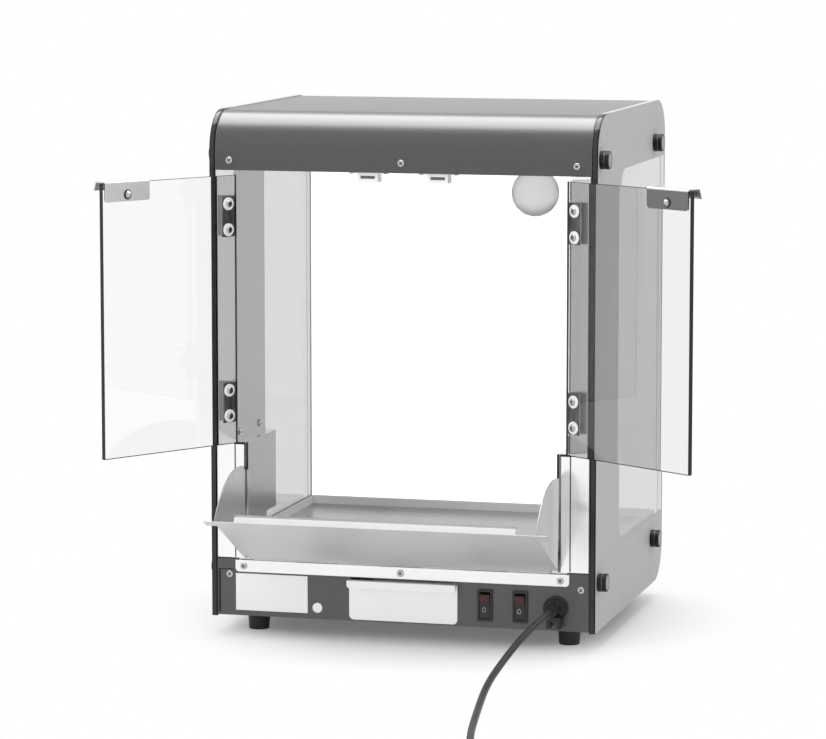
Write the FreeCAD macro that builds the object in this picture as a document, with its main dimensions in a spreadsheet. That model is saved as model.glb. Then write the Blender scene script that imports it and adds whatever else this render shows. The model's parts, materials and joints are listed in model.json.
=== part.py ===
import FreeCAD, Part
import Sketcher
import math
import os
from types import SimpleNamespace

# Countertop chip warmer, seen from the side where it is served from. X runs to the right, Y into the
# cabinet and Z up. Y is zero at the front edge of the side glasses, and the feet stand at Z zero.
# Both doors, the scoop flap and the two switches rest as they stand open or off.

Vector = FreeCAD.Vector
LEFT, RIGHT = -1, 1
SIDES = {LEFT: "left", RIGHT: "right"}

# Driving dimensions, in millimetres and degrees
SIZES = {
    # cabinet
    "cabinet_width": 400.0,
    "cabinet_depth": 344.0,
    "cabinet_height": 536.0,
    "corner_radius": 40.0,
    "foot_height": 20.0,
    "overrun": 2.0,
    # side glasses and their printed linings
    "side_glass": 6.0,
    "lining": 1.0,
    "lining_inset": 1.0,
    "window_front": 114.0,
    "window_up": 72.0,
    "window_down": 60.5,
    "window_radius": 22.0,
    # base housing
    "base_step": 1.5,
    "base_height": 59.5,
    "base_sheet": 1.2,
    "base_rear_gap": 4.0,
    "hinge_notch_half": 171.0,
    "hinge_notch_drop": 1.8,
    "deck_sheet": 1.5,
    "crumb_slot_length": 90.0,
    "crumb_slot_width": 12.0,
    "crumb_slot_front": 30.0,
    "crumb_slot_pitch": 24.0,
    # hood
    "hood_height": 60.0,
    "hood_sheet": 1.2,
    "hood_reveal": 1.0,
    "ceiling_flange": 18.0,
    # front pillars
    "pillar_width": 18.8,
    "pillar_depth": 105.0,
    "pillar_side": 12.0,
    "pillar_sheet": 1.2,
    # wing guides
    "guide_sheet": 1.0,
    "guide_width": 13.7,
    "guide_depth": 97.0,
    "guide_height": 119.0,
    "guide_flange": 19.0,
    "guide_slot": 3.3,
    "guide_notch_front": 64.0,
    "guide_notch_height": 39.0,
    "guide_screw_front": 14.0,
    "guide_screw_pitch": 67.5,
    "guide_screw_up": 8.5,
    # front strip
    "strip_end_gap": 0.3,
    "strip_height": 12.0,
    "strip_sheet": 1.2,
    "strip_drop": 2.0,
    "strip_radius": 4.0,
    "strip_screw_inset": 8.9,
    # scoop flap and its hinge
    "flap_pin": 0.8,
    "flap_knuckle": 1.6,
    "flap_axis_out": 0.8,
    "flap_axis_drop": 0.1,
    "flap_leaf": 0.8,
    "flap_leaf_inset": 3.9,
    "flap_knuckle_inset": 3.0,
    "flap_knuckle_gap": 0.4,
    "flap_top_gap": 0.8,
    "flap_sheet": 1.0,
    "flap_root": 2.0,
    "flap_root_inset": 6.6,
    "flap_shoulder": 9.0,
    "wing_gap": 1.1,
    "ear_overlap": 0.3,
    "ear_height": 12.0,
    "rail_inset": 14.0,
    "rail_flat": 5.0,
    "rail_slope": 3.5,
    "flap_angle": 62.4,
    # warming tray and heater
    "heat_plate": 2.5,
    "heat_plate_side_inset": 40.0,
    "heat_plate_end_inset": 14.0,
    "heating_mat": 2.0,
    "mat_margin": 6.0,
    "tray_side_gap": 3.0,
    "tray_front_gap": 3.0,
    "tray_rear_gap": 2.0,
    "tray_sheet": 1.2,
    "tray_height": 10.5,
    "tray_radius": 4.0,
    "tray_screw_out": 100.0,
    "tray_screw_rear": 12.0,
    "thermostat_radius": 12.0,
    "thermostat_height": 9.0,
    "thermostat_back": 40.0,
    "terminal_out": 95.0,
    "terminal_width": 42.0,
    "terminal_depth": 17.0,
    "terminal_height": 14.0,
    "terminal_back": 70.0,
    "terminal_bore": 1.8,
    # rear glass
    "rear_glass": 5.0,
    "rear_glass_inset": 2.0,
    "rear_glass_gap": 1.0,
    # lamp
    "lamp_out": 103.0,
    "lamp_back": 150.0,
    "lamp_drop": 28.4,
    "globe_radius": 24.5,
    "lamp_neck_low": 17.0,
    "lamp_neck_radius": 9.5,
    "lamp_cap_radius": 7.0,
    "lamp_cap_length": 22.0,
    "lamp_fit": 0.2,
    "holder_wall": 6.0,
    "holder_collar": 4.0,
    # magnetic catches
    "catch_out": 25.6,
    "catch_width": 21.0,
    "catch_height": 10.0,
    "catch_depth": 15.0,
    "catch_front": 6.8,
    "catch_ear": 5.5,
    "catch_ear_sheet": 1.5,
    "catch_slot_width": 15.0,
    "catch_slot_height": 3.0,
    "catch_slot_depth": 9.0,
    "catch_pole_inset": 1.0,
    "catch_pole_fit": 0.1,
    # doors
    "door_high_gap": 4.0,
    "door_gap": 1.2,
    "door_hinge_gap": 1.4,
    "door_glass": 5.0,
    "left_door_angle": 122.0,
    "right_door_angle": 145.5,
    # door hinges
    "hinge_axis_out": 2.2,
    "hinge_knuckle": 2.2,
    "hinge_pin": 1.2,
    "hinge_fit": 0.06,
    "hinge_leaf": 1.2,
    "hinge_leaf_width": 18.0,
    "hinge_height": 41.0,
    "hinge_low_up": 42.0,
    "hinge_high_down": 41.5,
    "hinge_relief": 2.7,
    "hinge_joint_gap": 0.4,
    "hinge_hole_pitch": 26.0,
    "pillar_hole_out": 8.9,
    "door_hole_out": 12.8,
    "nylon_radius": 6.4,
    "nylon_thickness": 1.5,
    # door handles
    "handle_width": 56.0,
    "handle_edge": 2.2,
    "handle_sheet": 1.5,
    "handle_drop": 18.6,
    "handle_top_gap": 0.2,
    "handle_reach": 9.2,
    "handle_lip": 9.6,
    "handle_spread": 3.0,
    "handle_bend": 2.0,
    "handle_screw_drop": 12.0,
    "handle_nut_radius": 4.0,
    "handle_nut_height": 2.0,
    # screws
    "screw_shank": 1.9,
    "screw_head": 3.6,
    "screw_head_height": 1.9,
    "screw_length": 7.0,
    "screw_fit": 0.2,
    "hood_screw_out": 179.0,
    "hood_screw_up": 10.0,
    "base_screw_out": 183.0,
    "base_screw_shift": 2.6,
    "base_screw_drop": 17.0,
    "sink_radius": 3.4,
    # side knobs
    "knob_front": 15.0,
    "knob_rear_inset": 59.0,
    "knob_up": 48.5,
    "knob_down": 44.0,
    "knob_radius": 9.2,
    "knob_length": 9.4,
    "knob_groove": 1.2,
    "knob_groove_width": 0.9,
    "knob_cap_radius": 7.2,
    "knob_cap": 0.8,
    "knob_thread_depth": 6.0,
    "cap_nut_length": 3.6,
    "cap_nut_thread_depth": 2.4,
    "stud_radius": 3.0,
    "stud_inside": 8.0,
    "stud_fit": 0.3,
    # feet
    "foot_top_radius": 11.8,
    "foot_low_radius": 10.5,
    "foot_side_inset": 29.2,
    "foot_end_inset": 46.5,
    # switches
    "switch_up": 22.8,
    "bezel_width": 15.5,
    "bezel_height": 32.5,
    "bezel_depth": 2.0,
    "bezel_radius": 1.5,
    "switch_body_width": 13.2,
    "switch_body_height": 29.2,
    "switch_body_depth": 15.0,
    "switch_wall": 1.1,
    "rocker_gap": 0.4,
    "rocker_pivot_in": 3.2,
    "rocker_pin": 1.2,
    "rocker_pin_fit": 0.06,
    "rocker_crest": 6.6,
    "rocker_dip": 4.6,
    "rocker_back": 3.4,
    "rocker_tilt": 7.0,
    # crumb drawer
    "drawer_centre": 2.5,
    "drawer_width": 113.0,
    "drawer_front_up": 1.5,
    "drawer_front_height": 41.5,
    "drawer_sheet": 1.2,
    "drawer_radius": 5.0,
    "drawer_lip_out": 10.0,
    "drawer_lip_drop": 8.0,
    "drawer_opening_margin": 1.5,
    "drawer_opening_over": 1.3,
    "drawer_side_gap": 2.0,
    "drawer_depth": 150.0,
    "drawer_tray_up": 4.5,
    "drawer_tray_height": 24.0,
    "runner_gap": 0.3,
    "runner_sheet": 1.2,
    "runner_ledge": 6.0,
    "runner_height": 12.0,
    # rating plate
    "label_side_inset": 19.0,
    "label_width": 76.0,
    "label_up": 5.5,
    "label_height": 38.0,
    "label_sheet": 0.5,
    # cable gland and mains lead
    "gland_up": 23.0,
    "gland_radius": 12.5,
    "gland_flange": 4.0,
    "gland_shoulder": 9.4,
    "gland_shoulder_length": 2.0,
    "gland_nose_root": 7.2,
    "gland_nose_tip": 4.8,
    "gland_nose_length": 18.0,
    "gland_hole": 9.4,
    "gland_back": 9.0,
    "lead_diameter": 7.0,
    "lead_table_gap": 0.1,
    "coil_radius": 47.5,
    "coil_pitch": 7.5,
    "coil_lift": 7.6,
    "coil_straight": 7.0,
    "plug_radius": 18.5,
    "plug_face": 11.0,
    "plug_body": 32.0,
    "plug_neck": 11.5,
    "plug_boot": 14.0,
    "plug_boot_root": 6.2,
    "plug_boot_tip": 4.4,
    "plug_pin": 2.4,
    "plug_pin_length": 19.0,
    "plug_pin_half_pitch": 9.5,
}

# Shares of a flap's length: the corner that rounds the wing, its rounding and its rear corner
WING_CORNER_SHARE = (0.547, 0.923)
WING_ROUND_SHARE = 0.80
WING_REAR_SHARE = (0.708, 0.370)

# Across the base front, as shares of its half width: the two switches and the cable gland
SWITCH_SHARES = (0.4528497, 0.6404145)
GLAND_SHARE = 0.8290155

# The mains lead from the gland's nose to its coil: how far across from the gland and forward, and
# its share of the gland's height over the table
LEAD_ROUTE_SHARES = [
    (0.0, -24.0, 1.0),
    (0.0, -38.0, 1.0),
    (-3.4, -54.5, 0.93643),
    (-9.2, -70.0, 0.80196),
    (-14.2, -86.0, 0.65281),
    (-19.0, -103.5, 0.48166),
    (-22.8, -123.0, 0.30807),
    (-25.4, -146.0, 0.14670),
    (-25.8, -172.0, 0.03178),
    (-19.5, -223.0, 0.0),
    (-9.0, -285.5, 0.0),
    (1.3, -345.4, 0.0),
    (12.1, -403.5, 0.0),
    (25.0, -455.0, 0.0),
    (33.0, -500.0, 0.0),
    (33.0, -565.0, 0.0),
]
# From the coil's end out to the plug's boot, whose height follows from the plug lying on the table
TAIL_REACH = (-64.0, -30.0)
COIL_TURNS = 5.25
TUBE_SHARE = 0.45
STRAIGHT_SHARE = 0.0001

doc = FreeCAD.newDocument("ChipWarmer")


class Size:
    """A size: its number, and the formula that gives it from the sheet."""

    def __init__(self, number, formula):
        self.number = number
        self.formula = formula

    def joined(self, sign, other, number):
        return Size(number, f"({self.formula} {sign} {other.formula})")

    def __add__(self, other):
        other = sized(other)
        return self.joined("+", other, self.number + other.number)

    def __sub__(self, other):
        other = sized(other)
        return self.joined("-", other, self.number - other.number)

    def __mul__(self, other):
        other = sized(other)
        return self.joined("*", other, self.number * other.number)

    def __truediv__(self, other):
        other = sized(other)
        return self.joined("/", other, self.number / other.number)

    def __radd__(self, other):
        return sized(other) + self

    def __rsub__(self, other):
        return sized(other) - self

    def __rmul__(self, other):
        return sized(other) * self

    def __neg__(self):
        return sized(0) - self


def sized(thing):
    if isinstance(thing, Size):
        return thing
    return Size(float(thing), f"({float(thing)})")


def filled_sheet():
    """Write the driving dimensions into a spreadsheet, and give each as a Size."""
    sheet = doc.addObject("Spreadsheet::Sheet", "Sizes")
    found = {}
    for row, (name, number) in enumerate(SIZES.items(), start=1):
        sheet.set(f"A{row}", name)
        sheet.set(f"B{row}", str(number))
        sheet.setAlias(f"B{row}", name)
        found[name] = Size(number, f"Sizes.{name}")
    doc.recompute()
    return SimpleNamespace(**found)


s = filled_sheet()

# Places that several pieces share
zero = sized(0)
glass_out = s.cabinet_width / 2
glass_in = glass_out - s.side_glass
frame_half = glass_in - s.lining
base_low = s.foot_height + s.base_step
base_top = base_low + s.base_height
base_rear = s.cabinet_depth - s.base_rear_gap
base_in = frame_half - s.base_sheet
hood_low = s.cabinet_height - s.hood_height
knob_low = base_low + s.knob_up
knob_high = s.cabinet_height - s.knob_down
knob_rear = s.cabinet_depth - s.knob_rear_inset
foot_out = frame_half - s.foot_side_inset
foot_rear = s.cabinet_depth - s.foot_end_inset
switch_high = base_low + s.switch_up
gland_high = base_low + s.gland_up
hood_front = s.hood_reveal
hood_rear = s.cabinet_depth - s.hood_reveal
hood_top = s.cabinet_height - s.hood_reveal
ceiling_top = hood_low + s.hood_sheet
pillar_in = frame_half - s.pillar_width
guide_in = pillar_in - s.guide_width
guide_top = base_top + s.guide_height
strip_top = base_top - s.strip_drop
strip_low = strip_top - s.strip_height
strip_back = -s.flap_leaf
strip_face = strip_back - s.strip_sheet
strip_screw_high = strip_low + s.strip_height / 2
strip_half = pillar_in - s.strip_end_gap
strip_screw_out = strip_half - s.strip_screw_inset
door_low = guide_top
door_high = hood_low - s.door_high_gap
flap_axis = (-s.flap_axis_out, base_top - s.flap_axis_drop)
flap_length = door_low - s.flap_top_gap - flap_axis[1]
wing_in = guide_in + s.guide_sheet + s.wing_gap
wing_out = wing_in + s.flap_sheet
ear_out = pillar_in + s.ear_overlap
flap_root_half = wing_out - s.flap_root_inset
flap_knuckle_half = flap_root_half - s.flap_knuckle_inset
door_width = pillar_in - s.door_gap
door_back = s.hinge_axis_out + s.door_glass
handle_out = door_width - s.handle_edge
handle_in = handle_out - s.handle_width
handle_middle = handle_out - s.handle_width / 2
handle_screw_high = door_high - s.handle_screw_drop
hinge_middles = (door_low + s.hinge_low_up, door_high - s.hinge_high_down)
hole_radius = s.screw_shank + s.screw_fit
rear_glass_front = base_rear - s.rear_glass_inset - s.rear_glass
tray_half = frame_half - s.tray_side_gap
tray_front = s.pillar_depth + s.tray_front_gap
tray_rear = rear_glass_front - s.tray_rear_gap
heat_plate_half = tray_half - s.heat_plate_side_inset
heat_plate_front = tray_front + s.heat_plate_end_inset
heat_plate_rear = tray_rear - s.heat_plate_end_inset
tray_low = base_top + s.heat_plate
tray_floor = tray_low + s.tray_sheet
drawer_left = s.drawer_centre - s.drawer_width / 2
drawer_right = s.drawer_centre + s.drawer_width / 2
drawer_low = base_low + s.drawer_front_up
drawer_high = drawer_low + s.drawer_front_height
drawer_tray_low = base_low + s.drawer_tray_up
drawer_in = drawer_left + s.drawer_side_gap
drawer_out = drawer_right - s.drawer_side_gap
runner_top = drawer_tray_low - s.runner_gap
lamp_place = (s.lamp_out, s.lamp_back)
knob_places = [(y, z) for y in (s.knob_front, knob_rear) for z in (knob_low, knob_high)]
switch_places = [frame_half * share for share in SWITCH_SHARES]
gland_out = frame_half * GLAND_SHARE
lead_radius = s.lead_diameter / 2

PLANES = {"X": ("YZ_Plane", 1), "Y": ("XZ_Plane", -1), "Z": ("XY_Plane", 1)}
TURNS = {
    "X": FreeCAD.Rotation(Vector(0, 1, 0), 90),
    "-X": FreeCAD.Rotation(Vector(0, 1, 0), -90),
    "Y": FreeCAD.Rotation(Vector(1, 0, 0), -90),
    "-Y": FreeCAD.Rotation(Vector(1, 0, 0), 90),
    "Z": FreeCAD.Rotation(),
}


def bind(thing, path, wanted):
    thing.setExpression(path, sized(wanted).formula)


def out(side, near, far):
    """The span from near to far on one side of the middle, lowest first."""
    near, far = sized(near), sized(far)
    return (near, far) if side == RIGHT else (-far, -near)


def rectangle(across, up, radius=None):
    corners = [(across[0], up[0]), (across[1], up[0]), (across[1], up[1]), (across[0], up[1])]
    if radius is None:
        return corners
    return [(a, b, radius) for a, b in corners]


def corner_rounding(before, corner, after, radius):
    """The two tangent points and the centre of a rounded corner."""
    back = (before - corner).normalize()
    ahead = (after - corner).normalize()
    half = back.getAngle(ahead) / 2
    reach = radius / math.tan(half)
    middle = (back + ahead).normalize()
    return corner + back * reach, corner + ahead * reach, corner + middle * (radius / math.sin(half))


def pin_point(sketch, geometry, end, place):
    """Hold a point of the sketch at a place that follows the sheet."""
    for kind, size in zip(("DistanceX", "DistanceY"), place):
        size = sized(size)
        number = sketch.addConstraint(Sketcher.Constraint(kind, geometry, end, size.number))
        bind(sketch, f"Constraints[{number}]", size)


def hold_radius(sketch, geometry, radius):
    radius = sized(radius)
    number = sketch.addConstraint(Sketcher.Constraint("Radius", geometry, radius.number))
    bind(sketch, f"Constraints[{number}]", radius)


def draw_outline(sketch, corners):
    """A closed outline through (a, b) or (a, b, radius) corners, every one held by the sheet."""
    points = [Vector(sized(c[0]).number, sized(c[1]).number, 0) for c in corners]
    count = len(corners)
    entries, leavings, centres = [], [], []
    for i, corner in enumerate(corners):
        here = points[i]
        _, _, *rounded = corner
        if not rounded:
            entries.append(here)
            leavings.append(here)
            centres.append(None)
            continue
        rounding = corner_rounding(points[i - 1], here, points[(i + 1) % count], sized(*rounded).number)
        entries.append(rounding[0])
        leavings.append(rounding[1])
        centres.append(rounding[2])
    lines = []
    for i in range(count):
        lines.append(sketch.addGeometry(Part.LineSegment(leavings[i], entries[(i + 1) % count]), False))
    for i, corner in enumerate(corners):
        before, after = lines[i - 1], lines[i]
        if centres[i] is None:
            sketch.addConstraint(Sketcher.Constraint("Coincident", before, 2, after, 1))
            pin_point(sketch, after, 1, corner[:2])
            continue
        arrives, leaves = entries[i] - centres[i], leavings[i] - centres[i]
        turns_left = arrives.cross(leaves).z > 0
        first, last = (arrives, leaves) if turns_left else (leaves, arrives)
        angles = [math.atan2(v.y, v.x) for v in (first, last)]
        circle = Part.Circle(centres[i], Vector(0, 0, 1), sized(corner[2]).number)
        arc = sketch.addGeometry(Part.ArcOfCircle(circle, angles[0], angles[1]), False)
        start, end = (1, 2) if turns_left else (2, 1)
        point = sketch.addGeometry(Part.Point(points[i]), True)
        pin_point(sketch, point, 1, corner[:2])
        sketch.addConstraint(Sketcher.Constraint("PointOnObject", point, 1, before))
        sketch.addConstraint(Sketcher.Constraint("PointOnObject", point, 1, after))
        sketch.addConstraint(Sketcher.Constraint("Tangent", before, 2, arc, start))
        sketch.addConstraint(Sketcher.Constraint("Tangent", arc, end, after, 1))
        hold_radius(sketch, arc, corner[2])


def draw_circle(sketch, place, radius):
    centre = Vector(sized(place[0]).number, sized(place[1]).number, 0)
    circle = Part.Circle(centre, Vector(0, 0, 1), sized(radius).number)
    number = sketch.addGeometry(circle, False)
    pin_point(sketch, number, 3, place)
    hold_radius(sketch, number, radius)


def new_body(name):
    body = doc.addObject("PartDesign::Body", name)
    body.Label = name
    return body


def shaped(body, kind, axis, span, outlines=(), circles=()):
    """Pad or pocket flat outlines of a body over a span of one axis."""
    low, high = sized(span[0]), sized(span[1])
    role, sense = PLANES[axis]
    adds = kind == "PartDesign::Pad"
    start = low if (sense == 1) == adds else high
    sketch = body.newObject("Sketcher::SketchObject", body.Name + "_sketch")
    plane = [o for o in body.Origin.OriginFeatures if o.Role == role][0]
    sketch.AttachmentSupport = (plane, [""])
    sketch.MapMode = "FlatFace"
    bind(sketch, "AttachmentOffset.Base.z", start * sense)
    for corners in outlines:
        draw_outline(sketch, corners)
    for place, radius in circles:
        draw_circle(sketch, place, radius)
    before = body.Shape.Volume if body.Tip else 0
    feature = body.newObject(kind, body.Name + "_shape")
    feature.Profile = sketch
    bind(feature, "Length", high - low)
    doc.recompute()
    change = body.Shape.Volume - before
    if (change > 0) != adds:
        raise RuntimeError(f"{feature.Name} changed nothing: {change}")
    return feature


def padded(body, axis, span, outlines, circles=()):
    return shaped(body, "PartDesign::Pad", axis, span, outlines, circles)


def pocketed(body, axis, span, outlines=(), circles=()):
    return shaped(body, "PartDesign::Pocket", axis, span, outlines, circles)


def box(name, x, y, z):
    thing = doc.addObject("Part::Box", name)
    for prop, letter, (low, high) in (("Length", "x", x), ("Width", "y", y), ("Height", "z", z)):
        bind(thing, prop, sized(high) - sized(low))
        bind(thing, f"Placement.Base.{letter}", low)
    return thing


def place_at(thing, axis, place):
    """Turn a piece that was made along Z to point along an axis, and set it at a place."""
    thing.Placement = FreeCAD.Placement(Vector(0, 0, 0), TURNS[axis])
    for letter, size in zip("xyz", place):
        bind(thing, f"Placement.Base.{letter}", size)
    return thing


def rod(name, axis, radius, place, length):
    thing = doc.addObject("Part::Cylinder", name)
    bind(thing, "Radius", radius)
    bind(thing, "Height", length)
    return place_at(thing, axis, place)


def turned(name, axis, place, corners):
    """A piece turned about its own line: corners are (radius, distance along)."""
    sketch = doc.addObject("Sketcher::SketchObject", name + "_sketch")
    sketch.Placement = FreeCAD.Placement(Vector(0, 0, 0), FreeCAD.Rotation(Vector(1, 0, 0), 90))
    draw_outline(sketch, corners)
    thing = doc.addObject("Part::Revolution", name)
    thing.Source = sketch
    thing.Axis = Vector(0, 0, 1)
    thing.Angle = 360
    thing.Solid = True
    return place_at(thing, axis, place)


def joined(name, parts):
    thing = doc.addObject("Part::MultiFuse", name)
    thing.Shapes = parts
    thing.Refine = True
    return thing


def group(name, parts):
    thing = doc.addObject("Part::Compound", name)
    thing.Links = parts
    return thing


def cut(name, base, tools):
    thing = doc.addObject("Part::Cut", name)
    thing.Base = base
    thing.Tool = group(name + "_tools", tools)
    thing.Refine = True
    return thing


def pan_screw(name, axis, place, length=None):
    """A pan-head screw whose head's underside lies at the place, pointing along the axis."""
    length = s.screw_length if length is None else length
    corners = [
        (zero, -s.screw_head_height),
        (s.screw_head, -s.screw_head_height),
        (s.screw_head, zero),
        (s.screw_shank, zero),
        (s.screw_shank, length),
        (zero, length),
    ]
    return turned(name, axis, place, corners)


# Cabinet glass and linings


def side_profile(inset):
    low, high = s.foot_height + inset, s.cabinet_height - inset
    front, rear = zero + inset, s.cabinet_depth - inset
    return front, rear, low, high, s.corner_radius - inset


def side_glass(side):
    front, rear, low, high, radius = side_profile(zero)
    corners = [(front, low), (rear, low, radius), (rear, high, radius), (front, high, radius)]
    holes = [(place, s.stud_radius + s.stud_fit) for place in knob_places]
    body = new_body(SIDES[side] + "_side_glass")
    padded(body, "X", out(side, glass_in, glass_out), [corners], holes)
    return body


def side_lining(side):
    front, rear, low, high, radius = side_profile(s.lining_inset)
    window_low, window_high = s.foot_height + s.window_up, s.cabinet_height - s.window_down
    corners = [
        (front, low),
        (rear, low, radius),
        (rear, window_low),
        (s.window_front, window_low, s.window_radius),
        (s.window_front, window_high, s.window_radius),
        (rear, window_high),
        (rear, high, radius),
        (front, high, radius),
    ]
    holes = [(place, s.stud_radius + s.stud_fit) for place in knob_places]
    body = new_body(SIDES[side] + "_side_lining")
    padded(body, "X", out(side, frame_half, glass_in), [corners], holes)
    return body


def rear_glass():
    half = frame_half - s.rear_glass_gap
    body = new_body("rear_glass")
    span = (rear_glass_front, rear_glass_front + s.rear_glass)
    padded(body, "Y", span, [rectangle((-half, half), (base_top, hood_low))])
    return body


# Hood with its ceiling


def hood():
    sheet, radius = s.hood_sheet, s.corner_radius - s.hood_reveal
    corners = [
        (hood_front, hood_low),
        (hood_rear, hood_low),
        (hood_rear, hood_top, radius),
        (hood_front, hood_top, radius),
    ]
    inside = [
        (hood_front + sheet, hood_low - s.overrun),
        (hood_rear - sheet, hood_low - s.overrun),
        (hood_rear - sheet, hood_top - sheet, radius - sheet),
        (hood_front + sheet, hood_top - sheet, radius - sheet),
    ]
    body = new_body("hood")
    padded(body, "X", (-frame_half, frame_half), [corners])
    pocketed(body, "X", (sheet - frame_half, frame_half - sheet), [inside])
    studs = [((y, knob_high), s.stud_radius + s.stud_fit) for y in (s.knob_front, knob_rear)]
    pocketed(body, "X", (-glass_in, glass_in), circles=studs)
    screws = [((x, hood_low + s.hood_screw_up), hole_radius) for x in hood_screw_places()]
    pocketed(body, "Y", (-s.overrun, hood_front + sheet + s.overrun), circles=screws)
    return body


def hood_screw_places():
    return (-s.hood_screw_out, zero, s.hood_screw_out)


def hood_ceiling():
    sheet, half = s.hood_sheet, frame_half - s.hood_sheet
    front, rear = hood_front + sheet, hood_rear - sheet
    high = hood_low + s.ceiling_flange
    corners = [
        (front, hood_low),
        (rear, hood_low),
        (rear, high),
        (rear - sheet, high),
        (rear - sheet, ceiling_top),
        (front + sheet, ceiling_top),
        (front + sheet, high),
        (front, high),
    ]
    body = new_body("hood_ceiling")
    padded(body, "X", (-half, half), [corners])
    screws = [((x, hood_low + s.hood_screw_up), hole_radius) for x in hood_screw_places()]
    pocketed(body, "Y", (-s.overrun, front + sheet + s.overrun), circles=screws)
    opening = s.lamp_neck_low + s.lamp_fit
    pocketed(body, "Z", (hood_low - s.overrun, ceiling_top + s.overrun), circles=[(lamp_place, opening)])
    return body


def hood_screws():
    places = [(x, hood_front, hood_low + s.hood_screw_up) for x in hood_screw_places()]
    return group("hood_screws", [pan_screw(f"hood_screw_{i}", "Y", p) for i, p in enumerate(places)])


def lamp_bulb():
    globe = doc.addObject("Part::Sphere", "lamp_globe")
    bind(globe, "Radius", s.globe_radius)
    middle = hood_low - s.lamp_drop
    place_at(globe, "Z", (*lamp_place, middle))
    shoulder = middle + s.lamp_neck_low
    neck_top = ceiling_top + s.holder_collar
    corners = [
        (zero, middle),
        (s.lamp_neck_low, middle),
        (s.lamp_neck_low, shoulder),
        (s.lamp_neck_radius, neck_top),
        (s.lamp_cap_radius, neck_top),
        (s.lamp_cap_radius, neck_top + s.lamp_cap_length),
        (zero, neck_top + s.lamp_cap_length),
    ]
    neck = turned("lamp_neck", "Z", (*lamp_place, zero), corners)
    return joined("lamp_bulb", [globe, neck])


def lamp_holder():
    wall, fit = s.holder_wall, s.lamp_fit
    neck_top = ceiling_top + s.holder_collar
    wide = s.lamp_neck_low + fit
    top = neck_top + s.lamp_cap_length + s.lamp_fit
    corners = [
        (wide, ceiling_top),
        (wide + wall, ceiling_top),
        (wide + wall, neck_top),
        (s.lamp_cap_radius + wall, neck_top + wall),
        (s.lamp_cap_radius + wall, top + wall),
        (zero, top + wall),
        (zero, top),
        (s.lamp_cap_radius + fit, top),
        (s.lamp_cap_radius + fit, neck_top + fit),
        (wide, neck_top + fit),
    ]
    return turned("lamp_holder", "Z", (*lamp_place, zero), corners)


def catch_spans(side):
    wide = out(side, s.catch_out, s.catch_out + s.catch_width)
    ears = out(side, s.catch_out - s.catch_ear, s.catch_out + s.catch_width + s.catch_ear)
    middle = s.catch_out + s.catch_width / 2
    slot = out(side, middle - s.catch_slot_width / 2, middle + s.catch_slot_width / 2)
    return wide, ears, slot


def catch_housings():
    deep = (s.catch_front, s.catch_front + s.catch_depth)
    low = hood_low - s.catch_height
    middle = hood_low - s.catch_height / 2
    slot_high = (middle - s.catch_slot_height / 2, middle + s.catch_slot_height / 2)
    housings = []
    for side, word in SIDES.items():
        wide, ears, slot = catch_spans(side)
        block = box(f"{word}_catch_block", wide, deep, (low, hood_low))
        plate_deep = (s.catch_front + s.catch_depth / 4, s.catch_front + s.catch_depth * 3 / 4)
        plate = box(f"{word}_catch_plate", ears, plate_deep, (hood_low - s.catch_ear_sheet, hood_low))
        hollow = (s.catch_front - s.overrun, s.catch_front + s.catch_slot_depth)
        recess = box(f"{word}_catch_slot", slot, hollow, slot_high)
        whole = joined(f"{word}_catch_whole", [block, plate])
        housings.append(cut(f"{word}_catch", whole, [recess]))
    return group("catch_housings", housings)


def catch_poles():
    middle = hood_low - s.catch_height / 2
    fit = s.catch_pole_fit
    half = s.catch_slot_height / 2 - fit
    deep = (s.catch_front + s.catch_pole_inset, s.catch_front + s.catch_slot_depth - fit)
    poles = []
    for side, word in SIDES.items():
        slot = catch_spans(side)[2]
        wide = (slot[0] + fit, slot[1] - fit)
        poles.append(box(f"{word}_catch_pole", wide, deep, (middle - half, middle + half)))
    return group("catch_poles", poles)


# Pillars and wing guides


def pillar(side):
    sheet = s.pillar_sheet
    far_in, near_out = pillar_in + sheet, frame_half - sheet
    corners = [
        (pillar_in, zero),
        (frame_half, zero),
        (frame_half, s.pillar_side),
        (near_out, s.pillar_side),
        (near_out, sheet),
        (far_in, sheet),
        (far_in, s.pillar_depth),
        (pillar_in, s.pillar_depth),
    ]
    corners = [(a * side, b) for a, b in corners]
    body = new_body(SIDES[side] + "_pillar")
    padded(body, "Z", (base_top, hood_low), [corners])
    holes = []
    for middle in hinge_middles:
        for sign in (-1, 1):
            x = (pillar_in + s.pillar_hole_out) * side
            holes.append(((x, middle + sign * s.hinge_hole_pitch / 2), hole_radius))
    pocketed(body, "Y", (-s.overrun, sheet + s.overrun), circles=holes)
    guide_holes = [(place, hole_radius) for place in guide_screw_places()]
    pocketed(body, "X", out(side, pillar_in - s.overrun, far_in + s.overrun), circles=guide_holes)
    return body


def guide_screw_places():
    high = guide_top + s.guide_screw_up
    return [(s.guide_screw_front, high), (s.guide_screw_front + s.guide_screw_pitch, high)]


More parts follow.
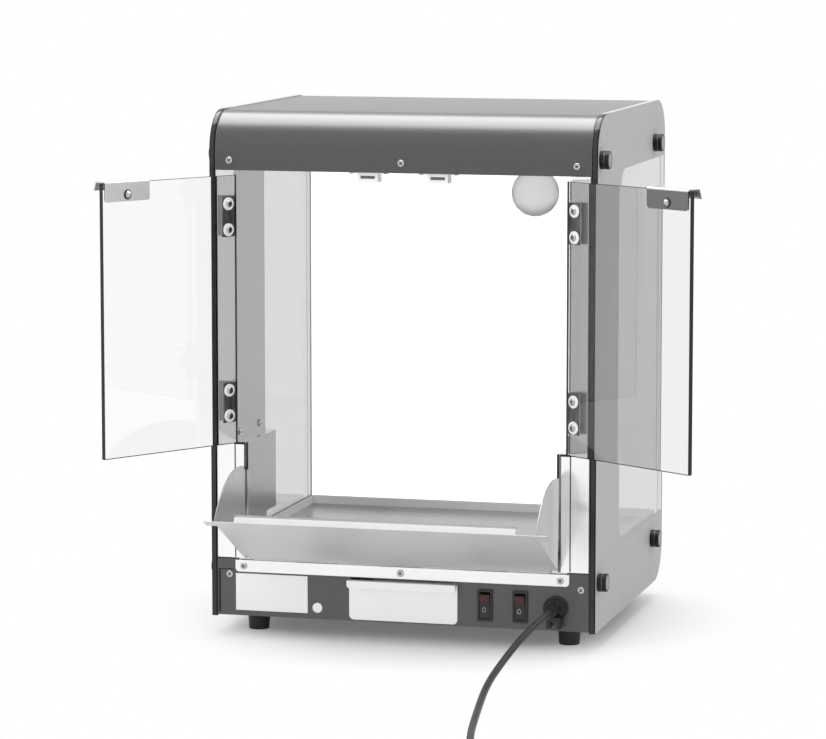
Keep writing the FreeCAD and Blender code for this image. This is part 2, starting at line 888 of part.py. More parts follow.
def guide_box(side):
    sheet = s.guide_sheet
    under, flange_in = guide_top - sheet, pillar_in - sheet
    high = guide_top + s.guide_flange
    corners = [
        (guide_in, base_top),
        (guide_in + sheet, base_top),
        (guide_in + sheet, under),
        (pillar_in, under),
        (pillar_in, high),
        (flange_in, high),
        (flange_in, guide_top),
        (guide_in, guide_top),
    ]
    corners = [(a * side, b) for a, b in corners]
    body = new_body(SIDES[side] + "_guide_box")
    padded(body, "Y", (zero, s.guide_depth), [corners])
    slot_out = guide_in + sheet + s.guide_slot
    front = rectangle(out(side, slot_out, pillar_in), (base_top, under))
    padded(body, "Y", (zero, sheet), [front])
    notch = rectangle(
        (s.guide_notch_front, s.guide_depth + s.overrun),
        (base_top - s.overrun, base_top + s.guide_notch_height),
    )
    pocketed(body, "X", out(side, guide_in - s.overrun, guide_in + sheet + s.overrun), [notch])
    holes = [(place, hole_radius) for place in guide_screw_places()]
    pocketed(body, "X", out(side, flange_in - s.overrun, pillar_in + s.overrun), circles=holes)
    return body


def guide_screws():
    screws = []
    face = pillar_in - s.guide_sheet
    for side, word in SIDES.items():
        axis = "X" if side == RIGHT else "-X"
        for number, (y, z) in enumerate(guide_screw_places()):
            screws.append(pan_screw(f"{word}_guide_screw_{number}", axis, (face * side, y, z)))
    return group("guide_screws", screws)


# Base, deck and heater


def base_housing():
    sheet = s.base_sheet
    body = new_body("base_housing")
    padded(body, "Z", (base_low, base_top), [rectangle((-frame_half, frame_half), (zero, base_rear))])
    inside = rectangle((-base_in, base_in), (sheet, base_rear - sheet))
    pocketed(body, "Z", (base_low + sheet, base_top + s.overrun), [inside])
    wall = (-s.overrun, sheet + s.overrun)
    notch_low = base_top - s.hinge_notch_drop
    notch = rectangle((-s.hinge_notch_half, s.hinge_notch_half), (notch_low, base_top + s.overrun))
    margin = s.drawer_opening_margin
    opening = rectangle(
        (drawer_left + margin, drawer_right - margin),
        (drawer_low + margin, drawer_high + s.drawer_opening_over),
    )
    switches = []
    for x in switch_places:
        half = s.switch_body_width / 2 + s.rocker_gap / 2
        tall = s.switch_body_height / 2 + s.rocker_gap / 2
        switches.append(rectangle((x - half, x + half), (switch_high - tall, switch_high + tall)))
    holes = [((gland_out, gland_high), s.gland_hole)]
    holes += [((x, strip_screw_high), hole_radius) for x in strip_screw_places()]
    holes += [((x, base_top - s.base_screw_drop), hole_radius) for x in base_screw_places()]
    pocketed(body, "Y", wall, [notch, opening, *switches], holes)
    studs = [((y, knob_low), s.stud_radius + s.stud_fit) for y in (s.knob_front, knob_rear)]
    pocketed(body, "X", (-glass_in, glass_in), circles=studs)
    return body


def strip_screw_places():
    return (-strip_screw_out, zero, strip_screw_out)


def base_screw_places():
    return (s.base_screw_shift - s.base_screw_out, s.base_screw_shift + s.base_screw_out)


def base_screws():
    places = [(x, zero, base_top - s.base_screw_drop) for x in base_screw_places()]
    return group("base_screws", [pan_screw(f"base_screw_{i}", "Y", p) for i, p in enumerate(places)])


def deck():
    sheet, rear = s.deck_sheet, base_rear - s.base_sheet
    low = base_top - sheet
    body = new_body("deck")
    padded(body, "Z", (low, base_top), [rectangle((-base_in, base_in), (s.base_sheet, rear))])
    wide = (s.drawer_centre - s.crumb_slot_length / 2, s.drawer_centre + s.crumb_slot_length / 2)
    slots = []
    for number in range(2):
        front = s.crumb_slot_front + number * s.crumb_slot_pitch
        slots.append(rectangle(wide, (front, front + s.crumb_slot_width)))
    pocketed(body, "Z", (low - s.overrun, base_top + s.overrun), slots)
    holes = [(place, hole_radius) for place in tray_screw_places()]
    pocketed(body, "Z", (low - s.overrun, base_top + s.overrun), circles=holes)
    return body


def heat_plate():
    body = new_body("heat_plate")
    outline = rectangle((-heat_plate_half, heat_plate_half), (heat_plate_front, heat_plate_rear))
    padded(body, "Z", (base_top, base_top + s.heat_plate), [outline])
    return body


def heating_mat():
    low = base_top - s.deck_sheet - s.heating_mat
    margin = s.mat_margin
    wide = (margin - heat_plate_half, heat_plate_half - margin)
    deep = (heat_plate_front + margin, heat_plate_rear - margin)
    return box("heating_mat", wide, deep, (low, low + s.heating_mat))


def thermostat():
    low = base_top - s.deck_sheet - s.heating_mat
    back = heat_plate_front + s.thermostat_back
    head = rod("thermostat_head", "Z", s.thermostat_radius, (zero, back, low - s.thermostat_height),
               s.thermostat_height)
    half = s.thermostat_radius / 3
    tabs = []
    for sign in (-1, 1):
        middle = sign * s.thermostat_radius / 2
        wide = (middle - half / 2, middle + half / 2)
        under = low - s.thermostat_height
        tabs.append(box("thermostat_tab", wide, (back - half / 8, back + half / 8),
                        (under - s.thermostat_radius / 2, under)))
    return joined("thermostat", [head, *tabs])


def terminal_block():
    low = base_low + s.base_sheet
    wide = (s.terminal_out, s.terminal_out + s.terminal_width)
    deep = (s.terminal_back, s.terminal_back + s.terminal_depth)
    body = new_body("terminal_block")
    padded(body, "Z", (low, low + s.terminal_height), [rectangle(wide, deep)])
    bores = []
    for number in range(3):
        x = s.terminal_out + s.terminal_width * (2 * number + 1) / 6
        bores.append(((x, low + s.terminal_height / 2), s.terminal_bore))
    pocketed(body, "Y", (deep[0] - s.overrun, deep[1] + s.overrun), circles=bores)
    return body


def tray_screw_places():
    back = tray_rear - s.tray_screw_rear
    return [(-s.tray_screw_out, back), (s.tray_screw_out, back)]


def warming_tray():
    sheet = s.tray_sheet
    body = new_body("warming_tray")
    outline = rectangle((-tray_half, tray_half), (tray_front, tray_rear), s.tray_radius)
    padded(body, "Z", (tray_low, tray_low + s.tray_height), [outline])
    inside = rectangle(
        (sheet - tray_half, tray_half - sheet),
        (tray_front + sheet, tray_rear - sheet),
        s.tray_radius - sheet,
    )
    pocketed(body, "Z", (tray_floor, tray_low + s.tray_height + s.overrun), [inside])
    holes = [(place, hole_radius) for place in tray_screw_places()]
    pocketed(body, "Z", (tray_low - s.overrun, tray_floor + s.overrun), circles=holes)
    return body


def tray_screws():
    screws = []
    for number, place in enumerate(tray_screw_places()):
        corners = [
            (zero, -s.screw_head_height),
            (s.screw_head, -s.screw_head_height),
            (s.screw_head, zero),
            (s.screw_shank, zero),
            (s.screw_shank, s.screw_length),
            (zero, s.screw_length),
        ]
        corners = [(radius, -along) for radius, along in reversed(corners)]
        screws.append(turned(f"tray_screw_{number}", "Z", (*place, tray_floor), corners))
    return group("tray_screws", screws)


# Front strip and the flap's hinge


def front_strip():
    corners = [
        (-strip_half, strip_low, s.strip_radius),
        (strip_half, strip_low, s.strip_radius),
        (strip_half, strip_top),
        (-strip_half, strip_top),
    ]
    holes = [((x, strip_screw_high), hole_radius) for x in strip_screw_places()]
    body = new_body("front_strip")
    padded(body, "Y", (strip_face, strip_back), [corners], holes)
    return body


def strip_screws():
    places = [(x, strip_face, strip_screw_high) for x in strip_screw_places()]
    return group("strip_screws", [pan_screw(f"strip_screw_{i}", "Y", p) for i, p in enumerate(places)])


def knuckle_spans(kept):
    """The spans along the flap's hinge that one of its halves holds."""
    count = 7
    pitch = flap_knuckle_half * 2 / count
    spans = []
    for number in range(count):
        if (number % 2 == 0) == kept:
            start = number * pitch - flap_knuckle_half
            spans.append((start + s.flap_knuckle_gap / 2, start + pitch - s.flap_knuckle_gap / 2))
    return spans


def flap_hinge_leaf():
    y, z = flap_axis
    half = (strip_half - s.flap_leaf_inset)
    leaf = box("flap_leaf_sheet", (-half, half), (strip_back, zero), (strip_low, strip_top))
    parts = [leaf]
    for number, (low, high) in enumerate(knuckle_spans(True)):
        parts.append(box(f"flap_leaf_riser_{number}", (low, high), (strip_back, zero), (strip_top, z)))
        barrel = rod(f"flap_leaf_barrel_{number}", "X", s.flap_knuckle, (low, y, z), high - low)
        parts.append(barrel)
    whole = joined("flap_leaf_whole", parts)
    length = flap_knuckle_half * 2 + s.overrun * 2
    start = -flap_knuckle_half - s.overrun
    bore = rod("flap_leaf_bore", "X", s.flap_pin + s.hinge_fit, (start, y, z), length)
    tools = [bore]
    for number, x in enumerate(strip_screw_places()):
        place = (x, strip_back - s.overrun, strip_screw_high)
        tools.append(rod(f"flap_leaf_hole_{number}", "Y", hole_radius, place, s.flap_leaf + s.overrun * 2))
    return cut("flap_hinge_leaf", whole, tools)


def flap_hinge_pin():
    y, z = flap_axis
    start = -flap_knuckle_half
    return rod("flap_hinge_pin", "X", s.flap_pin, (start, y, z), flap_knuckle_half * 2)


def scoop_flap():
    """Drawn shut and upright from its hinge line; its placement tips it open."""
    sheet, length = s.flap_sheet, flap_length
    shoulder, ear_low = s.flap_shoulder, length - s.ear_height
    right_edge = [
        (flap_root_half, s.flap_root),
        (flap_root_half, shoulder),
        (wing_out, shoulder),
        (wing_out, ear_low),
        (ear_out, ear_low),
        (ear_out, length),
    ]
    left_edge = [(-a, b) for a, b in reversed(right_edge)]
    body = new_body("scoop_flap_sheet")
    padded(body, "Y", (-sheet, zero), [right_edge + left_edge])
    wing = [
        (-sheet, shoulder),
        (zero, shoulder),
        (length * WING_REAR_SHARE[0], length * WING_REAR_SHARE[1]),
        (length * WING_CORNER_SHARE[0], length * WING_CORNER_SHARE[1], length * WING_ROUND_SHARE),
        (-sheet, length),
    ]
    for side in SIDES:
        padded(body, "X", out(side, wing_in, wing_out), [wing])
    flat, slope = s.rail_flat, s.rail_slope
    rail = [
        (zero, length - sheet),
        (flat, length - sheet),
        (flat + slope, length - sheet - slope),
        (flat + slope + sheet * 3 / 4, length - slope - sheet / 4),
        (flat + sheet / 2, length),
        (-sheet, length),
        (-sheet, length - sheet),
    ]
    padded(body, "X", (-(flap_root_half - s.rail_inset), (flap_root_half - s.rail_inset)), [rail])
    parts = [body]
    for number, (low, high) in enumerate(knuckle_spans(False)):
        neck = box(f"flap_neck_{number}", (low, high), (-sheet, zero), (zero, s.flap_root))
        parts.append(neck)
        place = (low, zero, zero)
        parts.append(rod(f"flap_barrel_{number}", "X", s.flap_knuckle, place, high - low))
    whole = joined("scoop_flap_whole", parts)
    length_all = flap_knuckle_half * 2 + s.overrun * 2
    start = -flap_knuckle_half - s.overrun
    bore = rod("scoop_flap_bore", "X", s.flap_pin + s.hinge_fit, (start, zero, zero), length_all)
    return cut("scoop_flap", whole, [bore])


# Doors, drawn shut from their hinge line at the origin; their placement swings them open


def door_glass(side):
    inward = -side
    holes = [(place, hole_radius) for place in door_hole_places(side)]
    body = new_body(SIDES[side] + "_door_glass")
    outline = rectangle(out(inward, s.door_hinge_gap, door_width), (door_low, door_high))
    padded(body, "Y", (s.hinge_axis_out, door_back), [outline], holes)
    return body


def door_hole_places(side):
    places = []
    for middle in hinge_middles:
        for sign in (-1, 1):
            places.append((-side * s.door_hole_out, middle + sign * s.hinge_hole_pitch / 2))
    places.append((-side * handle_middle, handle_screw_high))
    return places


def hinge_half(name, inward, middle, outer_knuckles, hole_out):
    """One leaf of a butt hinge with its knuckles: two outer ones, or the middle one."""
    half = s.hinge_height / 2
    third = s.hinge_height / 3
    leaf_y = (s.hinge_axis_out - s.hinge_leaf, s.hinge_axis_out)
    leaf_x = out(inward, s.hinge_relief, s.hinge_leaf_width)
    parts = [box(name + "_leaf", leaf_x, leaf_y, (middle - half, middle + half))]
    gap = s.hinge_joint_gap / 2
    if outer_knuckles:
        spans = [(middle - half, middle - third / 2 - gap), (middle + third / 2 + gap, middle + half)]
    else:
        spans = [(middle - third / 2 + gap, middle + third / 2 - gap)]
    for number, (low, high) in enumerate(spans):
        neck_x = out(inward, zero, s.hinge_relief)
        parts.append(box(f"{name}_neck_{number}", neck_x, leaf_y, (low, high)))
        parts.append(rod(f"{name}_barrel_{number}", "Z", s.hinge_knuckle, (zero, zero, low), high - low))
    whole = joined(name + "_whole", parts)
    start = (zero, zero, middle - half - s.overrun)
    tools = [rod(name + "_bore", "Z", s.hinge_pin + s.hinge_fit, start, s.hinge_height + s.overrun * 2)]
    for sign in (-1, 1):
        place = (inward * hole_out, leaf_y[0] - s.overrun, middle + sign * s.hinge_hole_pitch / 2)
        length = s.hinge_leaf + s.overrun * 2
        tools.append(rod(name + "_hole", "Y", hole_radius, place, length))
        if outer_knuckles:
            tools.append(sink(name + "_sink", place[0], leaf_y[0], place[2], s.screw_fit))
    return cut(name, whole, tools)


def sink(name, x, y, z, fit):
    """The cone of a countersunk screw's head, its wide face at y."""
    corners = [
        (zero, zero),
        (s.sink_radius + fit, zero),
        (s.screw_shank + fit, s.hinge_leaf),
        (zero, s.hinge_leaf),
    ]
    return turned(name, "Y", (x, y, z), corners)


def door_leaves(side):
    word = SIDES[side]
    halves = []
    for number, middle in enumerate(hinge_middles):
        halves.append(hinge_half(f"{word}_door_leaf_{number}", -side, middle, False, s.door_hole_out))
    return group(word + "_door_leaves", halves)


def pillar_hinge_leaves():
    halves = []
    for side, word in SIDES.items():
        for number, middle in enumerate(hinge_middles):
            half = hinge_half(f"{word}_pillar_leaf_{number}", side, middle, True, s.pillar_hole_out)
            moved = doc.addObject("Part::Compound", f"{word}_pillar_leaf_{number}_placed")
            moved.Links = [half]
            halves.append(place_at(moved, "Z", (side * pillar_in, -s.hinge_axis_out, zero)))
    return group("pillar_hinge_leaves", halves)


def hinge_pins():
    pins = []
    for side, word in SIDES.items():
        for number, middle in enumerate(hinge_middles):
            place = (side * pillar_in, -s.hinge_axis_out, middle - s.hinge_height / 2)
            pins.append(rod(f"{word}_hinge_pin_{number}", "Z", s.hinge_pin, place, s.hinge_height))
    return group("hinge_pins", pins)


def pillar_hinge_screws():
    screws = []
    for side, word in SIDES.items():
        x = side * (pillar_in + s.pillar_hole_out)
        for middle in hinge_middles:
            for sign in (-1, 1):
                z = middle + sign * s.hinge_hole_pitch / 2
                corners = [
                    (zero, zero),
                    (s.sink_radius, zero),
                    (s.screw_shank, s.hinge_leaf),
                    (s.screw_shank, s.screw_length),
                    (zero, s.screw_length),
                ]
                screws.append(turned(f"{word}_hinge_screw", "Y", (x, -s.hinge_leaf, z), corners))
    return group("pillar_hinge_screws", screws)


def hinge_washers(side):
    washers = []
    for number, (x, z) in enumerate(door_hole_places(side)[:-1]):
        corners = [
            (hole_radius, zero),
            (s.nylon_radius, zero),
            (s.nylon_radius, s.nylon_thickness),
            (hole_radius, s.nylon_thickness),
        ]
        washers.append(turned(f"{SIDES[side]}_washer_{number}", "Y", (x, door_back, z), corners))
    return group(SIDES[side] + "_hinge_washers", washers)


def door_screws(side):
    """Four screws that clamp the hinge leaves and one that clamps the handle."""
    word = SIDES[side]
    screws = []
    leaf_face = s.hinge_axis_out - s.hinge_leaf
    for number, (x, z) in enumerate(door_hole_places(side)[:-1]):
        seat = door_back + s.nylon_thickness
        screws.append(pan_screw(f"{word}_door_screw_{number}", "-Y", (x, seat, z), seat - leaf_face))
    x, z = door_hole_places(side)[-1]
    seat = door_back + s.handle_sheet
    end = s.hinge_axis_out - s.handle_nut_height
    bolt = pan_screw(f"{word}_handle_bolt", "-Y", (x, seat, z), seat - end)
    nut = rod(f"{word}_handle_nut", "Y", s.handle_nut_radius, (x, end, z), s.handle_nut_height)
    screws.append(joined(f"{word}_handle_screw", [bolt, nut]))
    return group(word + "_door_screws", screws)


def handle(side):
    sheet = s.handle_sheet
    under = door_high + s.handle_top_gap
    top = under + sheet
    low = door_high - s.handle_drop
    reach = s.hinge_axis_out - s.handle_reach
    tip = reach - s.handle_spread
    corners = [
        (door_back, low),
        (door_back + sheet, low),
        (door_back + sheet, top, s.handle_bend),
        (reach, top, s.handle_bend),
        (tip, top - s.handle_lip),
        (tip + sheet, top - s.handle_lip),
        (reach + sheet, under),
        (door_back, under),
    ]
    body = new_body(SIDES[side] + "_handle")
    padded(body, "X", out(-side, handle_in, handle_out), [corners])
    place = door_hole_places(side)[-1]
    pocketed(body, "Y", (s.hinge_axis_out, door_back + sheet + s.overrun), circles=[(place, hole_radius)])
    return body


# Side knobs and feet


def knobs():
    """The right side's round knobs, each with a groove round its middle."""
    middle = s.knob_length / 2
    groove = s.knob_groove_width / 2
    small = s.knob_radius - s.knob_groove
    corners = [
        (s.stud_radius, zero),
        (s.knob_radius, zero),
        (s.knob_radius, middle - groove),
        (small, middle - groove),
        (small, middle + groove),
        (s.knob_radius, middle + groove),
        (s.knob_radius, s.knob_length),
        (s.knob_cap_radius, s.knob_length),
        (s.knob_cap_radius, s.knob_length - s.knob_cap),
        (zero, s.knob_length - s.knob_cap),
        (zero, s.knob_thread_depth),
        (s.stud_radius, s.knob_thread_depth),
    ]
    made = []
    for number, (y, z) in enumerate(knob_places):
        made.append(turned(f"right_knob_{number}", "X", (glass_out, y, z), corners))
    return group("right_knobs", made)


def cap_nuts():
    """The left side's low cap nuts, which the photograph's view hides behind the glass edge."""
    corners = [
        (s.stud_radius, zero),
        (s.knob_radius, zero),
        (s.knob_radius, s.cap_nut_length),
        (zero, s.cap_nut_length),
        (zero, s.cap_nut_thread_depth),
        (s.stud_radius, s.cap_nut_thread_depth),
    ]
    made = []
    for number, (y, z) in enumerate(knob_places):
        made.append(turned(f"left_cap_nut_{number}", "-X", (-glass_out, y, z), corners))
    return group("left_cap_nuts", made)


def knob_caps():
    caps = []
    x = glass_out + s.knob_length - s.knob_cap
    for number, (y, z) in enumerate(knob_places):
        caps.append(rod(f"knob_cap_{number}", "X", s.knob_cap_radius, (x, y, z), s.knob_cap))
    return group("knob_caps", caps)


def knob_studs():
    studs = []
    threads = {LEFT: s.cap_nut_thread_depth, RIGHT: s.knob_thread_depth}
    for side, word in SIDES.items():
        axis = "X" if side == RIGHT else "-X"
        x = side * (base_in - s.stud_inside)
        length = s.stud_inside + s.base_sheet + s.lining + s.side_glass + threads[side]
        for number, (y, z) in enumerate(knob_places):
            studs.append(rod(f"{word}_stud_{number}", axis, s.stud_radius, (x, y, z), length))
    return group("knob_studs", studs)


def feet():
    corners = [
        (zero, zero),
        (s.foot_low_radius, zero),
        (s.foot_top_radius, base_low),
        (zero, base_low),
    ]
    made = []
    for side, word in SIDES.items():
        for y in (s.foot_end_inset, foot_rear):
            made.append(turned(f"{word}_foot", "Z", (side * foot_out, y, zero), corners))
    return group("feet", made)


# Switches


def rocker_half():
    return s.switch_body_width / 2 - s.switch_wall - s.rocker_gap


def switch_housings():
    housings = []
    for number, x in enumerate(switch_places):
        body = new_body(f"switch_housing_{number}")
        half, tall = s.bezel_width / 2, s.bezel_height / 2
        high = switch_high
        bezel = rectangle((x - half, x + half), (high - tall, high + tall), s.bezel_radius)
        padded(body, "Y", (-s.bezel_depth, zero), [bezel])
        half, tall = s.switch_body_width / 2, s.switch_body_height / 2
        block = rectangle((x - half, x + half), (high - tall, high + tall))
        padded(body, "Y", (zero, s.switch_body_depth), [block])
        half, tall = half - s.switch_wall, tall - s.switch_wall
        hollow = rectangle((x - half, x + half), (high - tall, high + tall))
        pocketed(body, "Y", (-s.bezel_depth - s.overrun, s.switch_body_depth - s.switch_wall), [hollow])
        wide = (x - s.switch_body_width, x + s.switch_body_width)
        pivot = ((s.rocker_pivot_in, high), s.rocker_pin + s.rocker_pin_fit)
        pocketed(body, "X", wide, circles=[pivot])
        housings.append(body)
    return group("switch_housings", housings)


def rocker(side):
    """Drawn level about its pivot; its placement tips it to off."""
    word = SIDES[side]
    tall = s.switch_body_height / 2 - s.switch_wall - s.rocker_gap * 2
    corners = [
        (-s.rocker_crest, -tall + s.rocker_gap),
        (-s.rocker_dip, zero),
        (-s.rocker_crest, tall - s.rocker_gap),
        (-s.rocker_crest + s.rocker_dip, tall),
        (s.rocker_back, tall / 3),
        (s.rocker_back, -tall / 3),
        (-s.rocker_crest + s.rocker_dip, -tall),
    ]
    corners.reverse()
    half = rocker_half()
    body = new_body(word + "_rocker_cap")
    padded(body, "X", (-half, half), [corners])
    reach = s.switch_body_width / 2
    pin = rod(word + "_rocker_pin", "X", s.rocker_pin, (-reach, zero, zero), reach * 2)
    return joined(word + "_rocker", [body, pin])


# Crumb drawer


def crumb_drawer():
    sheet = s.drawer_sheet
    body = new_body("crumb_drawer")
    face = [
        (drawer_left, drawer_low, s.drawer_radius),
        (drawer_right, drawer_low, s.drawer_radius),
        (drawer_right, drawer_high),
        (drawer_left, drawer_high),
    ]
    padded(body, "Y", (-sheet, zero), [face])
    out_y = -sheet - s.drawer_lip_out
    high = drawer_high
    shelf = rectangle((out_y, -sheet), (high - sheet, high))
    padded(body, "X", (drawer_left, drawer_right), [shelf])
    lip = [
        (drawer_left, high - s.drawer_lip_drop, s.drawer_radius - sheet),
        (drawer_right, high - s.drawer_lip_drop, s.drawer_radius - sheet),
        (drawer_right, high),
        (drawer_left, high),
    ]
    padded(body, "Y", (out_y, out_y + sheet), [lip])
    low = drawer_tray_low
    top = low + s.drawer_tray_height
    outer = rectangle((drawer_in, drawer_out), (zero, s.drawer_depth))
    padded(body, "Z", (low, top), [outer])
    inner = rectangle((drawer_in + sheet, drawer_out - sheet), (zero, s.drawer_depth - sheet))
    pocketed(body, "Z", (low + sheet, top + s.overrun), [inner])
    return body


def drawer_runners():
    low = base_low + s.base_sheet
    gap = s.runner_gap
    runners = []
    for side, word, edge in ((LEFT, "left", drawer_in), (RIGHT, "right", drawer_out)):
        wall_near, wall_far = edge + side * gap, edge + side * (gap + s.runner_sheet)
        inner = edge - side * s.runner_ledge
        corners = [
            (inner, runner_top - s.runner_sheet),
            (inner, runner_top),
            (wall_near, runner_top),
            (wall_near, low + s.runner_height),
            (wall_far, low + s.runner_height),
            (wall_far, low),
            (wall_near, low),
            (wall_near, runner_top - s.runner_sheet),
        ]
        body = new_body(word + "_runner")
        padded(body, "Y", (s.base_sheet, s.base_sheet + s.drawer_depth), [corners])
        runners.append(body)
    return group("drawer_runners", runners)


def rating_plate():
    left = s.label_side_inset - frame_half
    wide = (left, left + s.label_width)
    high = (base_low + s.label_up, base_low + s.label_up + s.label_height)
    return box("rating_plate", wide, (-s.label_sheet, zero), high)


# Cable gland, mains lead, coil and plug


def cable_gland():
    length = s.gland_flange + s.gland_shoulder_length
    tip = length + s.gland_nose_length
    corners = [
        (zero, -s.gland_back),
        (s.gland_hole - s.screw_fit, -s.gland_back),
        (s.gland_hole - s.screw_fit, zero),
        (s.gland_radius, zero),
        (s.gland_radius, s.gland_flange),
        (s.gland_shoulder, s.gland_flange),
        (s.gland_shoulder, length),
        (s.gland_nose_root, length),
        (s.gland_nose_tip, tip),
        (zero, tip),
    ]
    return turned("cable_gland", "-Y", (gland_out, zero, gland_high), corners)


def swept(path, start, direction, radius):
    """A round tube along a path of tangent arcs and lines."""
    ring = Part.Wire([Part.Circle(start, direction, radius).toShape()])
    shell = Part.BRepOffsetAPI.MakePipeShell(path)
    shell.add(ring)
    shell.build()
    shell.makeSolid()
    return shell.shape()


def shape_piece(name, shape):
    piece = doc.addObject("Part::Feature", name)
    piece.Shape = shape
    return piece


def lead_route():
    """The lead's corner points, from the gland's nose to where the coil starts."""
    on_table = lead_radius.number + s.lead_table_gap.number
    drop = gland_high.number - on_table
    return [Vector(gland_out.number + x, y, on_table + drop * share) for x, y, share in LEAD_ROUTE_SHARES]


def cord_lead():
    points = lead_route()
    radius = lead_radius.number
    edges, radii = [], []
    last = points[0]
    for before, corner, after in zip(points, points[1:], points[2:]):
        runs = (corner - before).Length, (after - corner).Length
        half = math.pi / 2 - (before - corner).getAngle(after - corner) / 2
        bend = TUBE_SHARE * min(runs) / math.tan(half)
        radii.append(bend)
        first, second, centre = corner_rounding(before, corner, after, bend)
        middle = centre + (corner - centre).normalize() * bend
        edges.append(Part.LineSegment(last, first).toShape())
        edges.append(Part.Arc(first, middle, second).toShape())
        last = second
    edges.append(Part.LineSegment(last, points[-1]).toShape())
    path = Part.Wire(edges)
    solid = swept(path, points[0], points[1] - points[0], radius)
    expected = math.pi * radius ** 2 * path.Length
    print("lead", round(path.Length, 1), "mm, radii", [round(r) for r in radii],
          "volume share", round(solid.Volume / expected, 4))
    return shape_piece("cord_lead", solid)


def coil_node(turn):
    """The coil's centre line after a number of turns: where it is and where it heads.

    It winds inwards on the table, turns back halfway and winds outwards on top of itself.
    """
    inner = math.ceil(COIL_TURNS * 2) / 4
    pitch, largest = s.coil_pitch.number, s.coil_radius.number
    start = lead_route()[-1] - Vector(0, s.coil_straight.number, 0)
    centre = start - Vector(largest, 0, 0)
    radius = largest - pitch * min(turn, 2 * inner - turn)
    rate = math.copysign(pitch, turn - inner)
    lift_share = min(max(turn - inner + 0.25, 0) * 2, 1)
    climb = 0
    if turn in (0, inner):
        rate = 0
    if turn == inner:
        climb = s.coil_lift.number * 4
    angle = -2 * math.pi * turn
    outward = Vector(math.cos(angle), math.sin(angle), 0)
    ahead = Vector(math.sin(angle), -math.cos(angle), 0)
    heading = ahead * (2 * math.pi * radius) + outward * rate + Vector(0, 0, climb)
    lift = Vector(0, 0, s.coil_lift.number * lift_share)
    return centre + outward * radius + lift, heading.normalize()


def biarc(start, heading, end, end_heading):
    """Two arcs that leave start and reach end along the given headings."""
    span = end - start
    both = heading + end_heading
    lean = 2 * (1 - heading.dot(end_heading))
    if lean < 1e-9:
        reach = span.Length ** 2 / (4 * span.dot(heading))
    else:
        reach = (math.sqrt(span.dot(both) ** 2 + lean * span.dot(span)) - span.dot(both)) / lean
    first, second = start + heading * reach, end - end_heading * reach
    middle = (first + second) * 0.5
    return [tangent_arc(start, heading, middle), tangent_arc(middle, second - first, end)]


def tangent_arc(start, heading, end):
    heading = Vector(heading).normalize()
    chord = end - start
    side = chord - heading * chord.dot(heading)
    if side.Length < chord.Length * STRAIGHT_SHARE:
        return Part.LineSegment(start, end).toShape()
    side.normalize()
    radius = chord.Length ** 2 / (2 * chord.dot(side))
    centre = start + side * radius
    middle = centre + ((start + end) * 0.5 - centre).normalize() * radius
    if chord.dot(heading) < 0:
        middle = centre - ((start + end) * 0.5 - centre).normalize() * radius
    return Part.Arc(start, middle, end).toShape()


def plug_entry():
    """Where the cord enters the plug's boot; the plug lies on the table and points to the left."""
    end = coil_node(COIL_TURNS)[0]
    return Vector(end.x + TAIL_REACH[0], end.y + TAIL_REACH[1], s.plug_radius.number)


def cord_coil():
    radius = lead_radius.number
    begin = lead_route()[-1]
    steps = int(COIL_TURNS * 4)
    nodes = [coil_node(step / 4) for step in range(steps + 1)]
    entry = plug_entry()
    straight = Vector(-s.coil_straight.number, 0, 0)
    edges = [Part.LineSegment(begin, nodes[0][0]).toShape()]
    for (start, heading), (end, end_heading) in zip(nodes, nodes[1:]):
        edges += biarc(start, heading, end, end_heading)
    tail_start, tail_heading = nodes[-1]
    edges += biarc(tail_start, tail_heading, entry - straight, Vector(-1, 0, 0))
    edges.append(Part.LineSegment(entry - straight, entry).toShape())
    path = Part.Wire(edges)
    solid = swept(path, begin, nodes[0][0] - begin, radius)
    expected = math.pi * radius ** 2 * path.Length
    print("coil", round(path.Length, 1), "mm, least gap", round(least_gap(path, radius), 2),
          "volume share", round(solid.Volume / expected, 4))
    return shape_piece("cord_coil", solid)


def least_gap(path, radius):
    """The least gap of the wound cord to itself, measured on points along it."""
    step = radius / 2
    points = path.discretize(Distance=step)
    skip = int(6 * radius / step)
    least = path.Length
    for i, point in enumerate(points):
        for other in points[i + skip:]:
            least = min(least, point.distanceToPoint(other))
    return least - 2 * radius


def plug_place():
    entry = plug_entry()
    return (sized(entry.x), sized(entry.y), sized(entry.z))


def plug_body():
    boot_end = s.plug_boot
    body_end = boot_end + s.plug_body
    corners = [
        (zero, zero),
        (s.plug_boot_tip, zero),
        (s.plug_boot_root, boot_end),
        (s.plug_neck, boot_end),
        (s.plug_radius, body_end),
        (s.plug_radius, body_end + s.plug_face),
        (zero, body_end + s.plug_face),
    ]
    return turned("plug_body", "-X", plug_place(), corners)


def plug_pins():
    x, y, z = plug_place()
    face = x - s.plug_boot - s.plug_body - s.plug_face
    pins = []
    for sign in (-1, 1):
        place = (face, y + sign * s.plug_pin_half_pitch, z)
        pins.append(rod("plug_pin", "-X", s.plug_pin, place, s.plug_pin_length))
    return group("plug_pins", pins)


# How the piece stands: where its middle lies on the table, and how the moving pieces rest


def door_reach(side, angle):
    """The furthest point of an open door's handle from its hinge line, in X and in front of it."""
    turn = math.radians(angle)
    lip = s.hinge_axis_out.number - s.handle_reach.number - s.handle_spread.number
    across = handle_out.number * math.cos(turn) + lip * math.sin(turn)
    ahead = door_width.number * math.sin(turn) - door_back.number * math.cos(turn)
    return -across, ahead


def standing_shift():
    left, left_ahead = door_reach(LEFT, s.left_door_angle.number)
    right, right_ahead = door_reach(RIGHT, s.right_door_angle.number)
    front = max(left_ahead, right_ahead) + s.hinge_axis_out.number
    return Vector((left - right) / 2, (front - s.cabinet_depth.number) / 2, 0)


shift = standing_shift()


